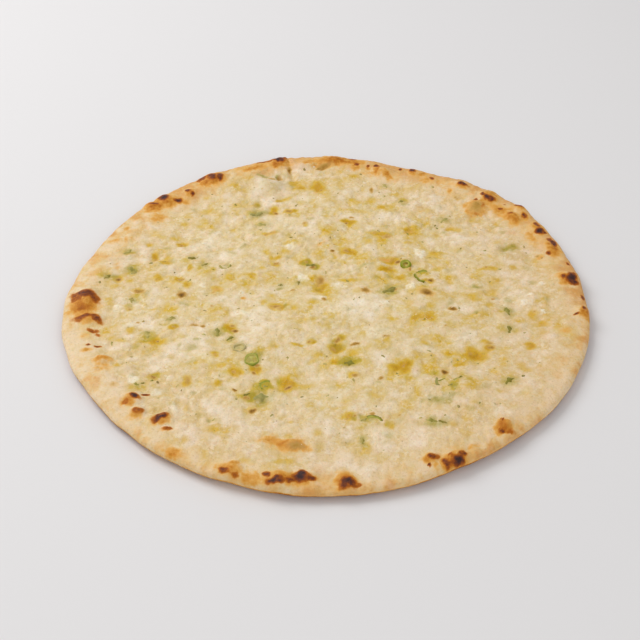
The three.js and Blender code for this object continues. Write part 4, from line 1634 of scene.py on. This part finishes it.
        # The line where the edge turns under is partly toast and partly painted shade under the edge.
        turning = smoothstep(depth, 0.42, 0.66) * smoothstep(depth, 0.97, 0.8)
        edge_toast_and_shade = 0.85 * turning * (1 + lumps(x, y, 16, 96))
        return np.where(depth < 0.97, np.maximum(marks, edge_toast_and_shade), self._leopard(x, y, inset))

    @staticmethod
    def _leopard(x: np.ndarray, y: np.ndarray, inset: np.ndarray) -> np.ndarray:
        """How brown the underside is: spotted where it touched the oven floor.

        Args:
            x: Points, to the right.
            y: Points, to the back.
            inset: How far they are in from the outline.

        Returns:
            Brown from 0 to 1.
        """
        broad = smoothstep(layered(x, y, (1.0, 26, 91), (0.7, 12, 92)), -0.1, 0.45)
        fine = smoothstep(layered(x, y, (1.0, 7, 93), (0.6, 3.4, 94)), 0.05, 0.5)
        return np.clip(0.18 + 0.3 * broad + 0.42 * broad * fine, 0, 0.9) * smoothstep(inset, 1, 9)


# ---- What lies in the topping ----


@dataclass(frozen=True)
class Shape:
    """A small shape, of which copies are laid on the bread.

    Args:
        points: Its points, one row each.
        faces: Its faces, each as the numbers of its points.
        inside: How much of the cut inside each point shows, from 0 to 1.
    """

    points: np.ndarray
    faces: list[tuple[int, ...]]
    inside: np.ndarray

    @classmethod
    def of(cls, work: bmesh.types.BMesh, inside: np.ndarray | None = None) -> "Shape":
        """Reads a shape off a bmesh and frees it.

        Args:
            work: The bmesh.
            inside: How much of the cut inside each point shows, or None for none.

        Returns:
            The shape.
        """
        bmesh.ops.recalc_face_normals(work, faces=work.faces)
        work.verts.index_update()
        points = np.array([vertex.co[:] for vertex in work.verts])
        faces = [tuple(vertex.index for vertex in face.verts) for face in work.faces]
        work.free()
        return cls(points, faces, np.zeros(len(points)) if inside is None else inside)


@dataclass(frozen=True)
class Bit:
    """How one copy of a shape lies on the bread.

    Args:
        x: Its place, to the right.
        y: Its place, to the back.
        size: How many times as large as the shape it is.
        turn: How far it is turned, in radians.
        tilt: How far it leans, in radians.
        sunk: How deep it is sunk.
        tone: Its shade, from 0 to 1.
        waxy: How pale and waxy it is, from 0 to 1.
        veil: How far cheese covers it, from 0 to 1.
    """

    x: float
    y: float
    size: float
    turn: float
    tilt: float
    sunk: float
    tone: float
    waxy: float = 0.0
    veil: float = 0.0

    def place(self, points: np.ndarray) -> np.ndarray:
        """Moves the points of its shape to where they lie over a level bread."""
        turned = Matrix.Rotation(self.turn, 3, "Z") @ Matrix.Rotation(self.tilt, 3, "X")
        return points @ np.array(turned).T * self.size + np.array([self.x, self.y, -self.sunk])


@dataclass
class Scatter:
    """Lays small things in the topping, one joined mesh for each kind.

    Args:
        form: The bread's shape.
        placing: Where the bread lies.
        clearance: How far crumbs keep from scorches and larger pieces.
    """

    form: Form
    placing: Placing
    clearance: float = 7.0

    def crowded(self, x: float, y: float) -> bool:
        """Whether oil, a scorch or a larger piece is already at a place.

        Args:
            x: The place, to the right.
            y: The place, to the back.

        Returns:
            Whether it is.
        """
        taken = [row[:2] for row in RINGS + CURLS + LEAVES] + [(spot.x, spot.y) for spot in SCORCHED]
        if any(math.hypot(x - px, y - py) < self.clearance for px, py in taken):
            return True
        return any(math.hypot(x - patch.x, y - patch.y) < patch.length for patch in OILED)

    def lay(
        self, name: str, shapes: list[Shape], bits: list[Bit], material: bpy.types.Material
    ) -> bpy.types.Object:
        """Lays copies of a few shapes on the bread.

        Args:
            name: The piece's name.
            shapes: The shapes, which the copies take in turn.
            bits: The copies.
            material: What all are made of.

        Returns:
            The piece.
        """
        points, faces, inside, looks = [], [], [], []
        count = 0
        for number, bit in enumerate(bits):
            shape = shapes[number % len(shapes)]
            points.append(bit.place(shape.points))
            faces.extend([tuple(count + corner for corner in face) for face in shape.faces])
            inside.append(shape.inside)
            looks.append(np.tile((bit.tone, bit.waxy, bit.veil), (len(shape.points), 1)))
            count += len(shape.points)
        points = np.concatenate(points)
        x, y, _ = points.T
        points[:, 2] += self.form.top(x, y, self.form.inset(x, y))
        mesh = bpy.data.meshes.new(name)
        mesh.from_pydata(self.placing.to_frame(points).tolist(), [], faces)
        tone, waxy, veil = np.concatenate(looks).T
        numbers = {
            "tone": tone,
            "waxy": waxy,
            "veil": veil,
            "yellow": tone,
            "inside": np.concatenate(inside),
            "topped": np.ones(count),
        }
        for attribute, values in numbers.items():
            write_numbers(mesh, attribute, values)
        return finished_object(name, mesh, material)


@dataclass
class SpringOnion:
    """Slices of spring onion, whole rings and cut curls.

    Args:
        scatter: Lays them.
        height: Thickness of a slice.
        steps: Steps round a whole ring.
        fewest: The fewest steps along a curl.
        sides: Sides of a slice's wall, in section.
        film: Thickness of the film in a filled ring, as a share of its width.
        sunk: How deep the slices are sunk.
        finish: How they look.
        seed: Of their unevenness.
    """

    scatter: Scatter
    height: float = 1.8
    steps: int = 28
    fewest: int = 8
    sides: int = 8
    film: float = 0.07
    sunk: float = 0.4
    finish: GreenFinish = GreenFinish(
        "spring_onion",
        dull=linear(118, 98, 20),
        fresh=linear(134, 142, 24),
        inside=linear(188, 182, 84),
        waxy=linear(192, 178, 132),
    )
    seed: int = 11

    def build(self) -> bpy.types.Object:
        """Makes the slices.

        Returns:
            The piece.
        """
        draw = np.random.default_rng(self.seed)
        shapes, bits = [], []
        for x, y, diameter, wall, degrees, filled, *looks in RINGS:
            shapes.append(self._slice((diameter - wall) / 2, 360, wall, filled, draw))
            tilt = math.radians(degrees)
            bits.append(Bit(x, y, 1.0, 0.0, tilt, self.sunk - diameter / 3 * math.sin(tilt), *looks))
        for x1, y1, x2, y2, width, bow, *looks in CURLS:
            half = math.hypot(x2 - x1, y2 - y1) / 2
            radius = (half**2 + bow**2) / (2 * bow)
            off = (radius - bow) / (2 * half)
            x, y = (x1 + x2) / 2 - off * (y2 - y1), (y1 + y2) / 2 + off * (x2 - x1)
            degrees = 2 * math.degrees(math.atan2(half, radius - bow))
            shapes.append(self._slice(radius, degrees, width, False, draw))
            turn, tilt = math.atan2(y1 - y, x1 - x), draw.uniform(-0.05, 0.05)
            bits.append(Bit(x, y, 1.0, turn, tilt, self.sunk, *looks))
        return self.scatter.lay("spring_onion", shapes, bits, self.finish.material())

    def _slice(
        self, middle: float, degrees: float, wall: float, filled: bool, draw: np.random.Generator
    ) -> Shape:
        """One slice, or a part of one, lying flat round the origin.

        Args:
            middle: Radius of the middle of the ring's wall.
            degrees: How much of the ring is left.
            wall: Width of the ring's wall.
            filled: Whether a thin film fills the ring.
            draw: Where the chance comes from.

        Returns:
            The shape, with the inside of the tube and the film marked as inside.
        """
        work = bmesh.new()
        upright = Matrix.Rotation(math.pi / 2, 4, "X")
        profile = bmesh.ops.create_circle(work, segments=self.sides, radius=0.5, matrix=upright)["verts"]
        bmesh.ops.scale(work, verts=profile, vec=(wall, 1, self.height))
        bmesh.ops.translate(work, verts=profile, vec=(middle, 0, 0))
        whole = degrees >= 360
        bmesh.ops.spin(
            work,
            geom=work.verts[:] + work.edges[:],
            cent=(0, 0, 0),
            axis=(0, 0, 1),
            angle=math.radians(degrees),
            steps=max(self.fewest, round(self.steps * degrees / 360)),
            use_merge=whole,
        )
        if not whole:
            bmesh.ops.holes_fill(work, edges=work.edges, sides=0)
        if filled:
            flat = Matrix.Diagonal((1, 1, self.film, 1))
            bmesh.ops.create_icosphere(work, subdivisions=3, radius=middle, matrix=flat)
        reach = np.array([math.hypot(vertex.co.x, vertex.co.y) for vertex in work.verts])
        inside = np.clip((middle + 0.1 * wall - reach) / (0.5 * wall), 0, 1)
        self._swell(work, 1.0 if whole else 0.15, draw)
        return Shape.of(work, inside)

    @staticmethod
    def _swell(work: bmesh.types.BMesh, uneven: float, draw: np.random.Generator) -> None:
        """Makes a slice less round and less flat.

        Args:
            work: The slice.
            uneven: How far from round it gets, with a whole ring at 1.
            draw: Where the chance comes from.
        """
        lean = draw.uniform(0, FULL_TURN)
        for vertex in work.verts:
            angle = math.atan2(vertex.co.y, vertex.co.x)
            swell = 1 + uneven * (0.07 * math.sin(2 * angle + lean) + 0.05 * math.sin(5 * angle + 2 * lean))
            vertex.co.x *= swell
            vertex.co.y *= swell
            vertex.co.z += 0.3 * math.sin(2 * angle + lean) + draw.uniform(-0.08, 0.08)


@dataclass
class ChoppedLeaves:
    """Bits of chopped leaf: the larger ones at their places, and small ones spread between them.

    Args:
        scatter: Lays them.
        kinds: How many leaves differ in shape.
        thickness: Thickness of a leaf as a share of its length.
        step: About how far apart the small ones are.
        edge: How far in from the outline they start.
        finish: How they look.
        seed: Of the small ones.
    """

    scatter: Scatter
    kinds: int = 5
    thickness: float = 0.08
    step: float = 22.0
    edge: float = 18.0
    finish: GreenFinish = GreenFinish(
        "chopped_leaf",
        dull=linear(124, 106, 36),
        fresh=linear(138, 132, 48),
        inside=linear(138, 132, 48),
        roughness=0.5,
    )
    seed: int = 12

    def build(self) -> bpy.types.Object:
        """Makes the leaves.

        Returns:
            The piece.
        """
        draw = np.random.default_rng(self.seed)
        shapes = [self._leaf(draw) for _ in range(self.kinds)]
        bits = []
        for x, y, length, turn, waxy, veil in LEAVES:
            tilt, tone = draw.uniform(-0.04, 0.04), draw.uniform(0.3, 0.8)
            bits.append(Bit(x, y, length, math.radians(turn), tilt, -0.05, tone, waxy, veil))
        for x, y in self.scatter.form.spread(draw, self.step, self.edge):
            length = draw.uniform(1.4, 3.4)
            turn, tilt = draw.uniform(0, FULL_TURN), draw.uniform(-0.08, 0.08)
            tone, waxy, veil = draw.uniform(0.1, 0.9), draw.uniform(0, 0.3), draw.uniform(0.2, 0.6)
            bits.append(Bit(x, y, length, turn, tilt, 0.05, tone, waxy, veil))
        return self.scatter.lay("chopped_leaves", shapes, bits, self.finish.material())

    def _leaf(self, draw: np.random.Generator) -> Shape:
        """One leaf of length 1, lying flat round the origin, lobed and wavy.

        Args:
            draw: Where the chance comes from.

        Returns:
            The shape.
        """
        slender = draw.uniform(0.36, 0.6)
        lobes = draw.uniform(4, 7)
        phase = draw.uniform(0, FULL_TURN)
        curl = draw.uniform(0.05, 0.16)
        work = bmesh.new()
        bmesh.ops.create_grid(work, x_segments=10, y_segments=4, size=0.5)
        for vertex in work.verts:
            along, across = 2 * vertex.co.x, 2 * vertex.co.y
            half = slender / 2 * max(0.0, 1 - along * along) ** 0.45
            half *= 1 + 0.34 * math.sin(lobes * along + phase)
            bend = 0.16 * math.sin(1.6 * along + phase)
            ragged = draw.uniform(0.72, 1.28) if abs(across) > 0.9 else 1.0
            vertex.co.y = across * ragged * (half + 0.03) + bend
            wave = 0.02 * math.sin(5 * along + phase)
            vertex.co.z = curl * (0.8 - 1.6 * across * across - 1.2 * along**4) + wave
        bmesh.ops.solidify(work, geom=work.faces[:], thickness=self.thickness)
        return Shape.of(work)


@dataclass
class HerbFlecks:
    """The finest of the chopped herbs, and specks of pepper and scorched garlic among them.

    Args:
        scatter: Lays them.
        kinds: How many flecks differ in shape.
        step: About how far apart they are.
        edge: How far in from the outline they start.
        finish: How they look.
        seed: Of their places and sizes.
    """

    scatter: Scatter
    kinds: int = 6
    step: float = 14.0
    edge: float = 14.0
    finish: GreenFinish = GreenFinish(
        "herb_fleck",
        dull=linear(154, 128, 76),
        fresh=linear(146, 138, 72),
        inside=linear(146, 138, 72),
        roughness=0.55,
    )
    seed: int = 13

    def build(self) -> bpy.types.Object:
        """Makes the flecks.

        Returns:
            The piece.
        """
        draw = np.random.default_rng(self.seed)
        shapes = [self._fleck(draw) for _ in range(self.kinds)]
        bits = []
        for x, y in self.scatter.form.spread(draw, self.step, self.edge):
            size = 0.5 + 1.6 * draw.uniform(0, 1) ** 3
            turn, tilt = draw.uniform(0, FULL_TURN), draw.uniform(-0.2, 0.2)
            tone, veil = draw.uniform(0, 1), draw.uniform(0.1, 0.7)
            bits.append(Bit(x, y, size, turn, tilt, 0.0, tone, veil=veil))
        return self.scatter.lay("herb_flecks", shapes, bits, self.finish.material())

    @staticmethod
    def _fleck(draw: np.random.Generator) -> Shape:
        """One fleck of size 1, flat and angular.

        Args:
            draw: Where the chance comes from.

        Returns:
            The shape.
        """
        work = bmesh.new()
        bmesh.ops.create_icosphere(work, subdivisions=1, radius=0.5)
        for vertex in work.verts:
            vertex.co *= draw.uniform(0.75, 1.25)
        bmesh.ops.scale(work, verts=work.verts, vec=(1.0, draw.uniform(0.4, 0.8), 0.3))
        return Shape.of(work)


@dataclass
class GarlicCrumbs:
    """Crumbs of chopped garlic and cheese that stand out of the melted topping.

    Args:
        scatter: Lays them.
        material: The topping's own material.
        kinds: How many crumbs differ in shape.
        step: About how far apart they are.
        edge: How far in from the outline they start.
        sunk: How deep a crumb is sunk, as a share of its size.
        seed: Of their places and sizes.
    """

    scatter: Scatter
    material: bpy.types.Material
    kinds: int = 12
    step: float = 13.0
    edge: float = 13.0
    sunk: float = 0.14
    seed: int = 14

    def build(self) -> bpy.types.Object:
        """Makes the crumbs.

        Returns:
            The piece.
        """
        draw = np.random.default_rng(self.seed)
        shapes = [self._crumb(draw) for _ in range(self.kinds)]
        bits = []
        for x, y in self.scatter.form.spread(draw, self.step, self.edge):
            size = 1.6 + 2.6 * draw.uniform(0, 1) ** 2
            tone = draw.uniform(0.25, 0.55)
            if not self.scatter.crowded(x, y):
                turn, tilt = draw.uniform(0, FULL_TURN), draw.uniform(-0.12, 0.12)
                bits.append(Bit(x, y, size, turn, tilt, self.sunk * size, tone))
        return self.scatter.lay("garlic_crumbs", shapes, bits, self.material)

    @staticmethod
    def _crumb(draw: np.random.Generator) -> Shape:
        """One crumb of size 1, an uneven flattened lump.

        Args:
            draw: Where the chance comes from.

        Returns:
            The shape.
        """
        work = bmesh.new()
        bmesh.ops.create_icosphere(work, subdivisions=2, radius=0.5)
        waves = [(Vector(draw.normal(size=3)).normalized(), draw.uniform(0, FULL_TURN)) for _ in range(3)]
        for vertex in work.verts:
            swell = sum(math.sin(8 * vertex.co.dot(axis) + phase) for axis, phase in waves)
            vertex.co *= 1 + 0.16 * swell + draw.uniform(-0.05, 0.05)
        bmesh.ops.scale(work, verts=work.verts, vec=(1.0, draw.uniform(0.55, 0.9), draw.uniform(0.26, 0.36)))
        return Shape.of(work)


# ---- The stage ----


class Softness(Enum):
    """How wide a studio light is, in metres."""

    BROAD = 1.6
    MEDIUM = 0.8


@dataclass(frozen=True)
class Lamp:
    """A square light that faces the bread.

    Args:
        name: Its name.
        softness: How wide it is.
        place: Where it stands, in metres.
        watts: How strong it is.
    """

    name: str
    softness: Softness
    place: Point
    watts: float

    def build(self) -> None:
        """Makes the light."""
        data = bpy.data.lights.new(self.name, "AREA")
        data.size = self.softness.value
        data.energy = self.watts
        light = bpy.data.objects.new(self.name, data)
        light.location = self.place
        light.rotation_euler = (-Vector(self.place)).to_track_quat("-Z", "Y").to_euler()
        bpy.context.scene.collection.objects.link(light)


@dataclass
class Studio:
    """A pale floor, soft light and the camera.

    Args:
        aim: The point that the camera looks at, in metres.
        distance: From there to the camera, in metres.
        elevation: The camera's height above the horizon, in degrees.
        field_of_view: The width of what the camera takes in, in degrees.
        floor_size: Width of the floor, in metres.
        lamps: The lights.
        surroundings: Strength of the even light from all round.
    """

    aim: Point = (-0.0029, -0.0102, 0.0)
    distance: float = 0.65
    elevation: float = 40.68
    field_of_view: float = 28.42
    floor_size: float = 8.0
    lamps: tuple[Lamp, ...] = (
        Lamp("key", Softness.MEDIUM, (-0.8, 0.5, 1.0), 10.0),
        Lamp("fill", Softness.BROAD, (0.5, -1.3, 0.9), 6.0),
    )
    surroundings: float = 0.55

    def build(self) -> None:
        """Makes the stage."""
        self._floor()
        for lamp in self.lamps:
            lamp.build()
        self._surround()
        self._camera()

    def _floor(self) -> None:
        """Lays a flat floor under the bread."""
        work = bmesh.new()
        bmesh.ops.create_grid(work, x_segments=1, y_segments=1, size=self.floor_size / 2)
        mesh = bpy.data.meshes.new("floor")
        work.to_mesh(mesh)
        work.free()
        mesh.materials.append(FloorFinish().material())
        floor = bpy.data.objects.new("floor", mesh)
        bpy.context.scene.collection.objects.link(floor)

    def _surround(self) -> None:
        """Lights the scene with even white from all round."""
        world = bpy.data.worlds.new("studio")
        world.use_nodes = True
        background = world.node_tree.nodes["Background"]
        background.inputs["Color"].default_value = (1.0, 1.0, 1.0, 1.0)
        background.inputs["Strength"].default_value = self.surroundings
        bpy.context.scene.world = world
        bpy.context.scene.view_settings.view_transform = "Standard"

    def _camera(self) -> None:
        """Sets up the camera, level and looking down at the bread."""
        data = bpy.data.cameras.new("camera")
        data.sensor_fit = "HORIZONTAL"
        data.angle = math.radians(self.field_of_view)
        camera = bpy.data.objects.new("camera", data)
        tilt = math.radians(self.elevation)
        aim = Vector(self.aim)
        camera.location = aim + self.distance * Vector((0, -math.cos(tilt), math.sin(tilt)))
        camera.rotation_euler = (aim - camera.location).to_track_quat("-Z", "Y").to_euler()
        bpy.context.scene.collection.objects.link(camera)
        bpy.context.scene.camera = camera


# ---- Assembly ----


def main() -> None:
    """Builds the bread, what lies in its topping, and the stage, and reports each piece."""
    logging.basicConfig(level=logging.INFO, format="%(name)s %(message)s")
    form = Form()
    placing = Placing.over_node(form)
    bread = Bread(form, placing).build()
    scatter = Scatter(form, placing)
    onion = SpringOnion(scatter).build()
    leaves = ChoppedLeaves(scatter).build()
    flecks = HerbFlecks(scatter).build()
    loose = GarlicCrumbs(scatter, bread.data.materials[0]).build()
    for piece in (bread, onion, leaves, flecks, loose):
        log.info("%s: %d faces", piece.name, len(piece.data.polygons))
    Studio().build()


if __name__ == "__main__":
    main()
